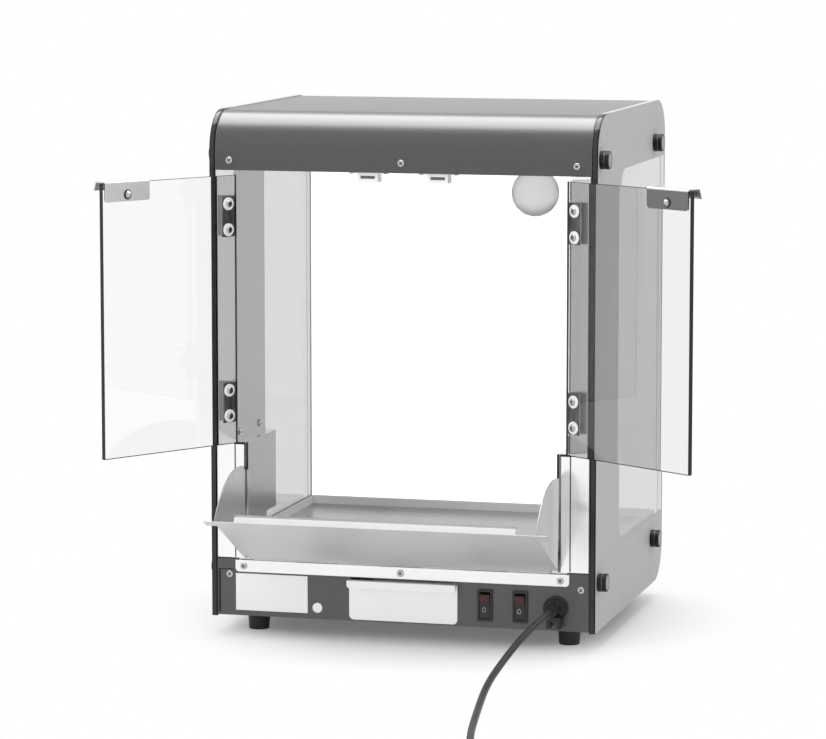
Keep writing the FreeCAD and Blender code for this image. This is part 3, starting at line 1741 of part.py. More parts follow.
def rest_placement(place, axis=Vector(0, 0, 1), angle=0):
    spot = Vector(*(sized(p).number for p in place))
    return FreeCAD.Placement(shift + spot, FreeCAD.Rotation(axis, angle))


x_axis, z_axis = Vector(1, 0, 0), Vector(0, 0, 1)
origin_place = (zero, zero, zero)
door_places = {side: (side * pillar_in, -s.hinge_axis_out, zero) for side in SIDES}
rocker_places = {side: (x, s.rocker_pivot_in, switch_high) for side, x in zip(SIDES, switch_places)}
flap_place = (zero, *flap_axis)

RESTS = {
    "cabinet": rest_placement(origin_place),
    "left_door": rest_placement(door_places[LEFT], z_axis, -s.left_door_angle.number),
    "right_door": rest_placement(door_places[RIGHT], z_axis, s.right_door_angle.number),
    "flap": rest_placement(flap_place, x_axis, s.flap_angle.number),
    "drawer": rest_placement(origin_place),
    "left_rocker": rest_placement(rocker_places[LEFT], x_axis, s.rocker_tilt.number),
    "right_rocker": rest_placement(rocker_places[RIGHT], x_axis, s.rocker_tilt.number),
}

PIECES = {
    "cabinet": [
        side_glass(LEFT),
        side_glass(RIGHT),
        side_lining(LEFT),
        side_lining(RIGHT),
        rear_glass(),
        hood(),
        hood_ceiling(),
        hood_screws(),
        lamp_bulb(),
        lamp_holder(),
        catch_housings(),
        catch_poles(),
        pillar(LEFT),
        pillar(RIGHT),
        guide_box(LEFT),
        guide_box(RIGHT),
        guide_screws(),
        base_housing(),
        base_screws(),
        deck(),
        heat_plate(),
        heating_mat(),
        thermostat(),
        terminal_block(),
        warming_tray(),
        tray_screws(),
        front_strip(),
        strip_screws(),
        flap_hinge_leaf(),
        flap_hinge_pin(),
        pillar_hinge_leaves(),
        hinge_pins(),
        pillar_hinge_screws(),
        cap_nuts(),
        knobs(),
        knob_caps(),
        knob_studs(),
        feet(),
        switch_housings(),
        drawer_runners(),
        rating_plate(),
        cable_gland(),
        cord_lead(),
        cord_coil(),
        plug_body(),
        plug_pins(),
    ],
    "left_door": [door_glass(LEFT), door_leaves(LEFT), hinge_washers(LEFT), door_screws(LEFT), handle(LEFT)],
    "right_door": [
        door_glass(RIGHT),
        door_leaves(RIGHT),
        hinge_washers(RIGHT),
        door_screws(RIGHT),
        handle(RIGHT),
    ],
    "flap": [scoop_flap()],
    "drawer": [crumb_drawer()],
    "left_rocker": [rocker(LEFT)],
    "right_rocker": [rocker(RIGHT)],
}


def check_and_write():
    doc.recompute()
    faults = []
    for thing in doc.Objects:
        if "Invalid" in thing.State or "Error" in thing.State:
            faults.append(f"{thing.Name} is {thing.State}")
    for name, pieces in PIECES.items():
        for piece in pieces:
            shape = piece.Shape
            if shape.isNull() or not shape.isValid() or not shape.Solids:
                faults.append(f"{piece.Name} has no valid solid")
    if faults:
        raise RuntimeError("; ".join(faults))
    os.makedirs("parts", exist_ok=True)
    for name, pieces in PIECES.items():
        for piece in pieces:
            piece.Placement = RESTS[name].multiply(own_placement(piece))
            piece.Shape.exportStep(f"parts/{piece.Name}.step")
        print(name, len(pieces), RESTS[name].Base)
    print("nodes", sum(len(pieces) for pieces in PIECES.values()))


def own_placement(piece):
    """Where a piece stands within its own body, once what held it there is let go."""
    placement = piece.Placement
    for path, formula in list(piece.ExpressionEngine):
        if path.startswith("Placement"):
            piece.setExpression(path, None)
    return placement


check_and_write()
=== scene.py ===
import json
import math

import bmesh
import bpy
from mathutils import Matrix, Vector

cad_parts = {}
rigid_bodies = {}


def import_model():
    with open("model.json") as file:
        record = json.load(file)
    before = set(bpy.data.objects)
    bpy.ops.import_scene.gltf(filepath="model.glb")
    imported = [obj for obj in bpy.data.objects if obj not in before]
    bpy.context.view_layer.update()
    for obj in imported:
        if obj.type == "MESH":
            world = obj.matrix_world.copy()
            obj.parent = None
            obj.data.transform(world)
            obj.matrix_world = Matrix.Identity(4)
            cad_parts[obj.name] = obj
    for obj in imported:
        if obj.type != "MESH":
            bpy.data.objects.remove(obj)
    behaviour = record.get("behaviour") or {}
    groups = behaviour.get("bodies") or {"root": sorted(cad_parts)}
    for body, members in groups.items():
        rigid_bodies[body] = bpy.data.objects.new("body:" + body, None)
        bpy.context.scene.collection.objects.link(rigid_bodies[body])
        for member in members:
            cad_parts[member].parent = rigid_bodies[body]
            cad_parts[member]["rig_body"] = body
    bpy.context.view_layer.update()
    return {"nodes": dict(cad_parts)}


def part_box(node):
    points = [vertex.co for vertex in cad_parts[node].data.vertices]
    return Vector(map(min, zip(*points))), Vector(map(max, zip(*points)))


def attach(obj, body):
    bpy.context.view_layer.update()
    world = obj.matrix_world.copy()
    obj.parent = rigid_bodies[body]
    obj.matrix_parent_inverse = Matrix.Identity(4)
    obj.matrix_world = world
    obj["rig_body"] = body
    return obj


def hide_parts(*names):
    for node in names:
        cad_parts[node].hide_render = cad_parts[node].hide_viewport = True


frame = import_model()
nodes = frame["nodes"]

MM = 0.001
MICRON = 0.000001
SIDES = {"left": -1, "right": 1}
left_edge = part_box("left_side_glass")[0]
right_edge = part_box("right_side_glass")[1]
MIDDLE = (left_edge.x + right_edge.x) / 2
FRONT = left_edge.y


def place(x, y, z):
    """A point of the cabinet, in millimetres from its front middle, in the row's frame."""
    return Vector((MIDDLE + x * MM, FRONT + y * MM, z * MM))


# Camera

SENSOR_WIDTH = 36


def look_from(x, y, z, turn, down, lens):
    """Sets the camera: its place in cabinet millimetres, its turn and tilt in degrees, its lens."""
    camera = bpy.data.objects.new("Camera", bpy.data.cameras.new("Camera"))
    bpy.context.scene.collection.objects.link(camera)
    camera.location = place(x, y, z)
    camera.rotation_euler = (math.radians(90 - down), 0, math.radians(turn))
    camera.data.lens = lens
    camera.data.sensor_width = SENSOR_WIDTH
    bpy.context.scene.camera = camera


look_from(x=974.957, y=-3643.482, z=754.08, turn=14.796, down=7.171, lens=165.55)

# The mains lead's route, in cabinet millimetres

CORD_DIAMETER = 7
LEAD = [
    (160, -24, 44.5),
    (160, -38, 44.5),
    (156.6, -54.5, 41.9),
    (150.8, -70, 36.4),
    (145.8, -86, 30.3),
    (141, -103.5, 23.3),
    (137.2, -123, 16.2),
    (134.6, -146, 9.6),
    (134.2, -172, 4.9),
    (140.5, -223, 3.6),
    (151, -285.5, 3.6),
    (161.3, -345.4, 3.6),
    (172.1, -403.5, 3.6),
    (185, -455, 3.6),
    (193, -500, 3.6),
    (193, -565, 3.6),
]
ON_FLOOR = 3.6
COIL_RADIUS = 47.5
COIL_X = LEAD[-1][0] - COIL_RADIUS
COIL_Y = LEAD[-1][1] - 7
COIL_TURNS = 5.25
TURN_POINTS = 16
STEP_INWARD = 7.5
TURNS_IN_AND_OUT = 5.5
RISE_STARTS = 2.5
RISE_TURNS = 0.5
SECOND_LAYER = 7.6
# Steps from the coil's last turn to the plug, across and back, with the height over the floor
TAIL = [(-14, 0, 11.2), (-32, -12, 14.5), (-48, -30, 18.5), (-64, -30, 18.5)]


def coil_point(turn):
    """The put-away lead winds in and out again, and the later turns lie on the earlier ones."""
    radius = COIL_RADIUS - STEP_INWARD * min(turn, TURNS_IN_AND_OUT - turn)
    lifted = min(max((turn - RISE_STARTS) / RISE_TURNS, 0), 1)
    angle = -2 * math.pi * turn
    x = COIL_X + radius * math.cos(angle)
    y = COIL_Y + radius * math.sin(angle)
    return x, y, ON_FLOOR + SECOND_LAYER * lifted


def lead_route():
    """All of the lead's points, from the gland to the plug."""
    steps = round(COIL_TURNS * TURN_POINTS)
    turns = [coil_point(n / TURN_POINTS) for n in range(steps + 1)]
    x, y, _ = turns[-1]
    return LEAD + turns + [(x + across, y + back, up) for across, back, up in TAIL]


# Finishes


class Signal:
    """One output of a finish's nodes, with plain arithmetic."""

    def __init__(self, nodes, socket):
        self.nodes = nodes
        self.socket = socket

    def maths(self, operation, *terms):
        return self.nodes.node("ShaderNodeMath", {"operation": operation}, dict(enumerate(terms)))

    def __add__(self, other):
        return self.maths("ADD", self, other)

    def __radd__(self, other):
        return self.maths("ADD", other, self)

    def __sub__(self, other):
        return self.maths("SUBTRACT", self, other)

    def __rsub__(self, other):
        return self.maths("SUBTRACT", other, self)

    def __mul__(self, other):
        return self.maths("MULTIPLY", self, other)

    def __rmul__(self, other):
        return self.maths("MULTIPLY", other, self)

    def __gt__(self, other):
        return self.maths("GREATER_THAN", self, other)

    def __lt__(self, other):
        return self.maths("LESS_THAN", self, other)

    def larger(self, other):
        return self.maths("MAXIMUM", self, other)


class Nodes:
    """An emptied node tree, and the one way to add a node to it."""

    def __init__(self, tree):
        self.tree = tree
        tree.nodes.clear()

    def node(self, kind, settings=None, inputs=None, output=0):
        made = self.tree.nodes.new(kind)
        for key, value in (settings or {}).items():
            setattr(made, key, value)
        for key, value in (inputs or {}).items():
            if isinstance(value, Signal):
                self.tree.links.new(value.socket, made.inputs[key])
            else:
                made.inputs[key].default_value = value
        return Signal(self, made.outputs[output])

    def path(self, word):
        return self.node("ShaderNodeLightPath", output=word)

    def ends_in(self, kind, shader):
        output = self.tree.nodes.new(kind)
        self.tree.links.new(shader.socket, output.inputs["Surface"])


class Finish(Nodes):
    """A procedural material, built from nodes."""

    def __init__(self, name):
        self.material = bpy.data.materials.new(name)
        self.material.use_nodes = True
        super().__init__(self.material.node_tree)

    def here(self):
        return self.node("ShaderNodeTexCoord", output="Object")

    def scaled(self, x, y, z):
        settings = {"operation": "MULTIPLY"}
        return self.node("ShaderNodeVectorMath", settings, {0: self.here(), 1: (x, y, z)})

    def noise(self, scales, detail=2.0, roughness=0.5):
        inputs = {
            "Vector": self.scaled(*scales),
            "Scale": 1.0,
            "Detail": detail,
            "Roughness": roughness,
        }
        return self.node("ShaderNodeTexNoise", {}, inputs)

    def blend(self, share, first, second):
        inputs = {"Factor": share, "A": (*first, 1), "B": (*second, 1)}
        return self.node("ShaderNodeMix", {"data_type": "RGBA"}, inputs, output="Result")

    def mottled(self, share, shade, spread, brightest=math.inf):
        """A grey that goes a share of itself darker and lighter."""
        lightest = min(shade * (1 + spread), brightest)
        return self.blend(share, grey(shade * (1 - spread)), grey(lightest))

    def bumps(self, height, depth, strength):
        inputs = {"Height": height, "Distance": depth, "Strength": strength}
        return self.node("ShaderNodeBump", {}, inputs)

    def coated(self, inputs):
        return self.node("ShaderNodeBsdfPrincipled", {}, inputs)

    def mixed(self, share, first, second):
        return self.node("ShaderNodeMixShader", {}, {0: share, 1: first, 2: second})

    def shown(self, shader):
        self.ends_in("ShaderNodeOutputMaterial", shader)
        return self.material


def grey(value):
    return (value, value, value)


WHITE = (1, 1, 1, 1)


def satin_paint(name, shade):
    """Dark paint with a fine level grain."""
    f = Finish(name)
    grain = f.noise((30, 700, 1800), detail=3.0)
    cloud = f.noise((5, 5, 5))
    inputs = {
        "Base Color": f.mottled(grain * 0.3 + cloud * 0.7, shade, 0.05),
        "Roughness": 0.29 + grain * 0.03,
        "Specular IOR Level": 0.85,
        "Normal": f.bumps(grain, 2 * MICRON, 0.1),
    }
    return f.shown(f.coated(inputs))


ROUGH_SPREAD = 0.04


def brushed_steel(name, shade, rough, lines, depth=4 * MICRON, metal=1.0):
    """Steel with brush lines: the scales are small along the stroke and large across it."""
    f = Finish(name)
    stroke = f.noise(lines, detail=3.0, roughness=0.6)
    cloud = f.noise((9, 9, 9))
    inputs = {
        "Base Color": f.mottled(stroke * 0.5 + cloud * 0.5, shade, 0.05, brightest=1),
        "Metallic": metal,
        "Roughness": rough - ROUGH_SPREAD + (stroke + cloud) * ROUGH_SPREAD,
        "Normal": f.bumps(stroke, depth, 0.2),
    }
    return f.shown(f.coated(inputs))


def rubber(name, shade, rough, shine=0.5):
    """Dull black with a fine grit, also for the knobs' hard plastic and for painted shade in seams,
    lines and recesses.
    """
    f = Finish(name)
    grit = f.noise((1400, 1400, 1400))
    inputs = {
        "Base Color": f.mottled(grit, shade, 0.25),
        "Roughness": rough - 0.05 + grit * 0.1,
        "Specular IOR Level": shine,
        "Normal": f.bumps(grit, 30 * MICRON, 0.3),
    }
    return f.shown(f.coated(inputs))


GRAIN_DARKENS = 0.93


def moulded(name, colour, rough, glow=0.0):
    """Moulded plastic with a faint spark-eroded grain, and a painted glow where glow is given."""
    f = Finish(name)
    grain = f.noise((2200, 2200, 2200), detail=1.0)
    darker = tuple(GRAIN_DARKENS * c for c in colour)
    inputs = {
        "Base Color": f.blend(grain, darker, colour),
        "Roughness": rough - 0.04 + grain * 0.08,
        "Emission Color": WHITE,
        "Emission Strength": glow,
        "Normal": f.bumps(grain, 10 * MICRON, 0.3),
    }
    return f.shown(f.coated(inputs))


def see_through(f, haze, tint):
    """Glass that lets shadow and daylight rays straight on to what stands behind it."""
    inputs = {
        "Base Color": (*grey(tint), 1),
        "Roughness": haze * 0.004,
        "IOR": 1.5,
        "Transmission Weight": 1.0,
    }
    glass = f.coated(inputs)
    passed = f.node("ShaderNodeBsdfTransparent", {}, {"Color": (*grey(tint ** 0.5), 1)})
    straight = f.path("Is Shadow Ray").larger(f.path("Is Diffuse Ray"))
    return f.mixed(straight, glass, passed)


HAZE = (30, 30, 30)


def clear_glass(name, tint):
    f = Finish(name)
    return f.shown(see_through(f, f.noise(HAZE), tint))


# The side glass's window, in the row's metres
WINDOW_FRONT = FRONT + 0.114
WINDOW_LOW = 0.092
WINDOW_HIGH = 0.4755
WINDOW_ROUNDING = 0.022


def misted_glass(name, tint, shade):
    """Glass that is clear in its window, which has two round corners in front, and dull off it."""
    f = Finish(name)
    haze = f.noise(HAZE)
    clear = see_through(f, haze, tint)
    spot = f.here()
    back = f.node("ShaderNodeSeparateXYZ", {}, {0: spot}, output="Y") - WINDOW_FRONT
    up = f.node("ShaderNodeSeparateXYZ", {}, {0: spot}, output="Z")
    nearer = (WINDOW_ROUNDING - back).larger(0.0)
    below = (WINDOW_ROUNDING - (up - WINDOW_LOW)).larger(0.0)
    above = (WINDOW_ROUNDING - (WINDOW_HIGH - up)).larger(0.0)
    window = (back > 0.0) * (up > WINDOW_LOW) * (up < WINDOW_HIGH)
    for beyond in (below, above):
        window = window * (nearer * nearer + beyond * beyond < WINDOW_ROUNDING ** 2)
    inputs = {
        "Base Color": f.mottled(haze, shade, 0.05),
        "Roughness": 0.5 + haze * 0.05,
        "Specular IOR Level": 0.35,
    }
    return f.shown(f.mixed(window, f.coated(inputs), clear))


def glass_rim(name, shade, shine=0.5):
    """The polished edge of a pane, mostly dark because the light leaves by the faces."""
    f = Finish(name)
    cloud = f.noise((60, 60, 60))
    inputs = {
        "Base Color": f.mottled(cloud, shade, 0.2),
        "Roughness": 0.1 + cloud * 0.06,
        "Specular IOR Level": shine,
    }
    return f.shown(f.coated(inputs))


def film(name, shade, rough=0.3, shine=0.5):
    """Thin printed or frosted film, with fine specks."""
    f = Finish(name)
    cloud = f.noise((14, 14, 14))
    speck = f.noise((1800, 1800, 1800))
    inputs = {
        "Base Color": f.mottled(cloud * 0.7 + speck * 0.3, shade, 0.06),
        "Roughness": rough + speck * 0.06,
        "Specular IOR Level": shine,
    }
    return f.shown(f.coated(inputs))


def frosted_globe(name):
    """Frosted glass, which passes on the light behind it softly."""
    f = Finish(name)
    cloud = f.noise((18, 18, 18))
    inputs = {
        "Base Color": f.blend(cloud, grey(0.75), grey(0.81)),
        "Roughness": 0.4 + cloud * 0.06,
        "IOR": 1.2,
        "Transmission Weight": 0.75,
        "Coat Weight": 0.35,
    }
    return f.shown(f.coated(inputs))


def ribbed_red(name):
    """Ribbed red plastic over the rocker's own lamp, unlit."""
    f = Finish(name)
    inputs = {"Vector": f.here(), "Scale": 700.0}
    ridge = f.node("ShaderNodeTexWave", {"bands_direction": "X"}, inputs)
    inputs = {
        "Base Color": f.blend(ridge, (0.035, 0.004, 0.004), (0.12, 0.011, 0.011)),
        "Roughness": 0.3,
        "Normal": f.bumps(ridge, 30 * MICRON, 0.3),
    }
    return f.shown(f.coated(inputs))


PAINT = satin_paint("dark satin paint", 0.048)
BASE_PAINT = satin_paint("dark base paint", 0.06)
STEEL_FRONT_PAINTED_LIGHT = brushed_steel("front steel, painted light", 0.99, 0.17, (700, 700, 26))
STEEL_STRIP_PAINTED_LIGHT = brushed_steel("strip steel, painted light", 0.95, 0.3, (24, 1100, 1100))
STEEL_SIDE_PAINTED_SHADE = brushed_steel("inner wall steel, painted shade", 0.34, 0.24, (900, 900, 26))
STEEL_ACROSS = brushed_steel("level brushed steel", 0.7, 0.24, (24, 1100, 1100))
STEEL_FLAP = brushed_steel("scoop steel", 0.72, 0.5, (24, 1300, 1300), metal=0.55)
STEEL_RAIL_PAINTED_SHADE = brushed_steel("scoop rail steel, painted shade", 0.4, 0.4, (24, 1300, 1300), metal=0.55)
STEEL_WING_PAINTED_SHADE = brushed_steel("scoop wing steel, painted shade", 0.48, 0.24, (1300, 1300, 30))
STEEL_TRAY_PAINTED_LIGHT = brushed_steel("tray steel, painted light", 0.95, 0.3, (20, 500, 500), metal=0.15)
STEEL_TRAY_FLOOR_PAINTED_SHADE = brushed_steel("tray floor steel, painted shade", 0.36, 0.24, (20, 500, 500))
STEEL_DRAWER = brushed_steel("drawer steel", 0.88, 0.4, (60, 1700, 2600), depth=20 * MICRON)
STEEL_SCREW = brushed_steel("screw steel", 0.52, 0.18, (500, 500, 500))
STEEL_HINGE = brushed_steel("hinge steel", 0.4, 0.3, (900, 900, 60))
STEEL_HANDLE = brushed_steel("handle steel", 0.76, 0.2, (60, 60, 1200))
STEEL_HANDLE_PAINTED_SHADE = brushed_steel("handle inner steel, painted shade", 0.2, 0.22, (60, 60, 1200))
STEEL_DULL = brushed_steel("plated steel", 0.45, 0.4, (300, 300, 300))
STEEL_POLE = brushed_steel("catch pole steel", 0.16, 0.4, (300, 300, 300))
STEEL_RING = brushed_steel("knob ring steel", 0.12, 0.35, (500, 500, 500))
CAP_GREY = brushed_steel("knob cap grey", 0.24, 0.35, (700, 700, 700))
# Painted shade in the screws' recesses, and the real dark washers of the handle bolts.
RECESS_SHADE_AND_WASHER = rubber("painted recess shade and dark washer", 0.03, 0.5)
KNOB_BLACK = rubber("knob black", 0.006, 0.42, shine=0.3)
FOOT_RUBBER = rubber("foot rubber", 0.01, 0.55)
LEAD_BLACK = rubber("lead black", 0.012, 0.45)
# Black and grey finishes for lines of painted shade.
PAINTED_SHADE_BLACK = rubber("edging black", 0.008, 0.6)
SEAM_PAINTED_SHADE = rubber("seam grey, painted shade", 0.09, 0.5)
BLACK_PLASTIC = moulded("black plastic", grey(0.014), 0.4)
ROCKER_BLACK = moulded("rocker black", grey(0.012), 0.25)
# The catches, terminal block and hinge washers get a painted glow, though they are no lamps.
WHITE_PLASTIC_PAINTED_GLOW = moulded("white plastic, painted glow", grey(0.92), 0.4, glow=0.1)
NYLON_PAINTED_GLOW = moulded("white nylon, painted glow", grey(0.92), 0.35, glow=0.1)
PRINT_WHITE = moulded("white print", grey(0.75), 0.5)
CERAMIC = moulded("lamp ceramic", grey(0.6), 0.4)
SILICONE = moulded("heater silicone", (0.36, 0.06, 0.03), 0.5)
# The right door's glass is tinted darker than the left's: painted shade on what is seen through it.
DOOR_GLASS = {
    "left": clear_glass("left door glass", 0.7),
    "right": clear_glass("right door glass, painted shade", 0.63),
}
SIDE_GLASS = misted_glass("side glass", 0.48, 0.5)
REAR_GLASS = clear_glass("rear glass", 0.97)
DOOR_RIM = glass_rim("door glass rim", 0.012, shine=0.3)
SIDE_RIM = glass_rim("side glass rim", 0.03, shine=0.35)
EDGE_BLACK = glass_rim("side glass ground edge", 0.002, shine=0.1)
PALE_RIM = glass_rim("pale glass rim", 0.4)
PLATE_WHITE = film("plate white", 0.96)
LINING_OUT = film("side lining, outer face", 0.3)
LINING_IN = film("side lining, inner face", 0.13, rough=0.45, shine=0.2)
GLOBE = frosted_globe("frosted globe")
RED_WINDOW = ribbed_red("red switch window")

# Ways to make a piece

SAME_POINT = 0.002 * MM
FLAT_DEGREES = 0.4
SMOOTH_DEGREES = 32
EASED_DEGREES = 40
ON_FACE = 0.1 * MM
ROUND_PROFILE = 0.5
MAIN_FACE_AREA = 5e-5


def body_of_node(name):
    return nodes[name]["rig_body"]


def piece(name, mesh, finishes, rides):
    """A new piece from a finished mesh, in the row's frame."""
    data = bpy.data.meshes.new(name)
    mesh.to_mesh(data)
    mesh.free()
    for finish in finishes:
        data.materials.append(finish)
    made = bpy.data.objects.new(name, data)
    bpy.context.scene.collection.objects.link(made)
    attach(made, rides)
    return made


def stand_in(node, ending, mesh, finishes):
    """A piece that takes a CAD node's place, on its body."""
    made = piece(node + ending, mesh, finishes, body_of_node(node))
    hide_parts(node)
    return made


def fitting(name, mesh, finish, rides="cabinet", rounded=False):
    """A small piece that the CAD leaves out."""
    bmesh.ops.recalc_face_normals(mesh, faces=mesh.faces)
    if rounded:
        smooth_by_angle(mesh)
    return piece(name, mesh, [finish], rides)


def smooth_by_angle(mesh, degrees=SMOOTH_DEGREES):
    limit = math.radians(degrees)
    for face in mesh.faces:
        face.smooth = True
    for edge in mesh.edges:
        edge.smooth = len(edge.link_faces) == 2 and edge.calc_face_angle(0) < limit


def cleaned(node):
    """The CAD node's faces, joined where they meet and whole where they are flat."""
    mesh = bmesh.new()
    mesh.from_mesh(nodes[node].data)
    bmesh.ops.remove_doubles(mesh, verts=mesh.verts, dist=SAME_POINT)
    limit = math.radians(FLAT_DEGREES)
    bmesh.ops.dissolve_limit(mesh, angle_limit=limit, verts=mesh.verts, edges=mesh.edges)
    for face in mesh.faces:
        face.material_index = 0
    return mesh


def ease(made, width):
    """Rounds a piece's sharp edges, as a press brake or a mould leaves them."""
    bevel = made.modifiers.new("eased edges", "BEVEL")
    bevel.width = width * MM
    bevel.segments = 2
    bevel.limit_method = "ANGLE"
    bevel.angle_limit = math.radians(EASED_DEGREES)
    bevel.harden_normals = True
    bevel.use_clamp_overlap = True


def refined(node, finish, edge, faced=(), thinned=None):
    """A piece with the CAD node's own form and eased edges.

    faced gives the faces that a test chooses another finish. thinned is a side and the
    millimetres by which the outermost face on it moves in.
    """
    mesh = cleaned(node)
    if thinned:
        outward, step = thinned
        furthest = max(v.co.x * outward for v in mesh.verts)
        for v in mesh.verts:
            if v.co.x * outward > furthest - ON_FACE:
                v.co.x -= outward * step * MM
    finishes = [finish]
    for other, chosen in faced:
        finishes.append(other)
        for face in mesh.faces:
            if chosen(face):
                face.material_index = len(finishes) - 1
    smooth_by_angle(mesh)
    made = stand_in(node, "_skin", mesh, finishes)
    if edge:
        ease(made, edge)
    return made


ACROSS = 0.7
UPWARD = 0.5
FORWARD = 0.8


def faces_across(face):
    return abs(face.normal.x) > ACROSS


def faces_up(face):
    return face.normal.z > UPWARD


CLEAR, RIM, PALE, GROUND = range(4)
SAME_WAY = 0.99
SHORTEST_EDGE = 2 * MM
FLAT_AREA = 1e-4


def pane(node, finish, rim, edge, ground=None, pale_behind=None):
    """A pane with two clear faces, a rim and ground corners between the two.

    Its rim is pale behind a given depth, where light from the room reaches it.
    """
    mesh = cleaned(node)
    through = max(mesh.faces, key=lambda face: face.calc_area()).normal.copy()
    for face in mesh.faces:
        if abs(face.normal.dot(through)) > SAME_WAY:
            face.material_index = CLEAR
        elif pale_behind is not None and face.calc_center_median().y > pale_behind:
            face.material_index = PALE
        else:
            face.material_index = RIM
    for index, beside in ((GROUND, RIM), (PALE, PALE)):
        edges = []
        for border in mesh.edges:
            kinds = sorted(face.material_index for face in border.link_faces)
            if kinds == [CLEAR, beside] and border.calc_length() > SHORTEST_EDGE:
                edges.append(border)
        if edges:
            bmesh.ops.bevel(
                mesh,
                geom=edges,
                offset=edge * MM,
                segments=2,
                profile=ROUND_PROFILE,
                affect="EDGES",
                clamp_overlap=True,
                material=index,
            )
    smooth_by_angle(mesh)
    for border in mesh.edges:
        for face in border.link_faces:
            if face.material_index == CLEAR or face.calc_area() > FLAT_AREA:
                border.smooth = False
    stand_in(node, "_pane", mesh, [finish, rim, PALE_RIM, ground or rim])


BLOCK_SIDES = (
    (0, 2, 3, 1),
    (4, 5, 7, 6),
    (0, 1, 5, 4),
    (2, 6, 7, 3),
    (0, 4, 6, 2),
    (1, 3, 7, 5),
)


def block(mesh, corners):
    """Adds a block from its eight corners, with the first direction changing fastest."""
    v = [mesh.verts.new(corner) for corner in corners]
    for side in BLOCK_SIDES:
        mesh.faces.new([v[n] for n in side])


def box_between(mesh, low, high):
    """Adds a plain block between two corners of the row's frame."""
    xs, ys, zs = zip(low, high)
    block(mesh, [(x, y, z) for z in zs for y in ys for x in xs])


def cabinet_box(mesh, low, high):
    """Adds a plain block between two corners, in the cabinet's millimetres."""
    box_between(mesh, place(*low), place(*high))


def islands(mesh):
    """The loose parts of a mesh, each as a list of its corner points."""
    reached = set()
    found = []
    for first in mesh.verts:
        if first in reached:
            continue
        reached.add(first)
        part = [first]
        for vert in part:
            for edge in vert.link_edges:
                other = edge.other_vert(vert)
                if other not in reached:
                    reached.add(other)
                    part.append(other)
        found.append([v.co.copy() for v in part])
    return found


def parts_of_node(node):
    """The corner points of each loose part of a CAD node."""
    source = cleaned(node)
    found = islands(source)
    source.free()
    return found


def box_of(points):
    """The lowest and the highest corner round some points."""
    xs, ys, zs = zip(*points)
    return Vector((min(xs), min(ys), min(zs))), Vector((max(xs), max(ys), max(zs)))


def own_line(points):
    """The line a turned part is turned about: its middle and its direction."""
    middle = sum(points, Vector()) / len(points)
    spread = Matrix([[0.0] * 3 for _ in range(3)])
    for p in points:
        d = p - middle
        for i in range(3):
            for j in range(3):
                spread[i][j] += d[i] * d[j]
    candidates = [Vector((1, 0, 0)), Vector((0, 1, 0)), Vector((0, 0, 1))]
    for degrees in range(180):
        angle = math.radians(degrees)
        candidates.append(Vector((math.cos(angle), math.sin(angle), 0)))

    def misfit(axis):
        side = axis.orthogonal().normalized()
        other = axis.cross(side)
        pairs = ((axis, side), (axis, other), (side, other))
        crossed = sum(abs(a.dot(spread @ b)) for a, b in pairs)
        return crossed + abs(side.dot(spread @ side) - other.dot(spread @ other))

    return middle, min(candidates, key=misfit)


def turned_form(mesh, profile, middle, axis, steps, index=0):
    """Turns (radius, along) corners about an axis and closes the first end.

    Returns the last ring and the two directions across the axis.
    """
    axis = axis.normalized()
    side = axis.orthogonal().normalized()
    other = axis.cross(side)
    rings = []
    for radius, along in profile:
        ring = []
        for n in range(steps):
            angle = 2 * math.pi * n / steps
            reach = side * math.cos(angle) + other * math.sin(angle)
            ring.append(mesh.verts.new(middle + axis * along + reach * radius))
        rings.append(ring)
    for near, far in zip(rings, rings[1:]):
        for n in range(steps):
            m = (n + 1) % steps
            mesh.faces.new((near[n], near[m], far[m], far[n])).material_index = index
    mesh.faces.new(list(reversed(rings[0]))).material_index = index
    return rings[-1], side, other


def turned_solid(mesh, profile, middle, axis, steps, index=0):
    """A turned form with both ends closed."""
    last, _, _ = turned_form(mesh, profile, middle, axis, steps, index)
    mesh.faces.new(last).material_index = index


def from_millimetres(profile, start=0.0):
    """Turned corners from millimetres, along the axis from a start in metres."""
    return [(radius * MM, start + along * MM) for radius, along in profile]


# Screws. Their sizes are shares of the head's radius, its thickness or the shank's radius.

HEAD_STEPS = 28
HEAD_SMOOTH_DEGREES = 40
HEAD_RIM = 0.97
HEAD_FLAT = 0.66
HEAD_ARC = (0.0, 0.35, 0.6, 0.8, 0.93, 1.0)
FLAT_HEAD_RIM = 0.62
DOMED_HEAD_RIM = 0.35
BELOW_HEAD = 0.3
PLAIN_SHANK = 0.45
SHANK_TIP = 0.8
SHANK_CHAMFER = 0.3
RECESS_ARM = 0.13
RECESS_REACH = 0.55
RECESS_DEPTH = 0.55
RECESS_TAPER = 0.72


def cross_recess(mesh, ring, middle, axis, side, other, widest, thick):
    """Closes a screw head's flat with a cross-shaped recess in it."""
    arm, reach = widest * RECESS_ARM, widest * RECESS_REACH
    corners = []
    for along in (side, other, -side, -other):
        across = axis.cross(along)
        for a, b in ((reach, -arm), (reach, arm), (arm, arm)):
            corners.append(along * a + across * b)
    depth = axis * thick * RECESS_DEPTH
    lip = [mesh.verts.new(middle + c) for c in corners]
    floor = [mesh.verts.new(middle + c * RECESS_TAPER - depth) for c in corners]
    edges = [mesh.edges.get(pair) for pair in zip(ring, ring[1:] + ring[:1])]
    edges += [mesh.edges.new(pair) for pair in zip(lip, lip[1:] + lip[:1])]
    bmesh.ops.triangle_fill(mesh, use_beauty=True, edges=edges)
    # The recess's walls and floor take the second finish: painted shade.
    for n in range(len(lip)):
        m = (n + 1) % len(lip)
        mesh.faces.new((lip[n], lip[m], floor[m], floor[n])).material_index = 1
    mesh.faces.new(floor).material_index = 1


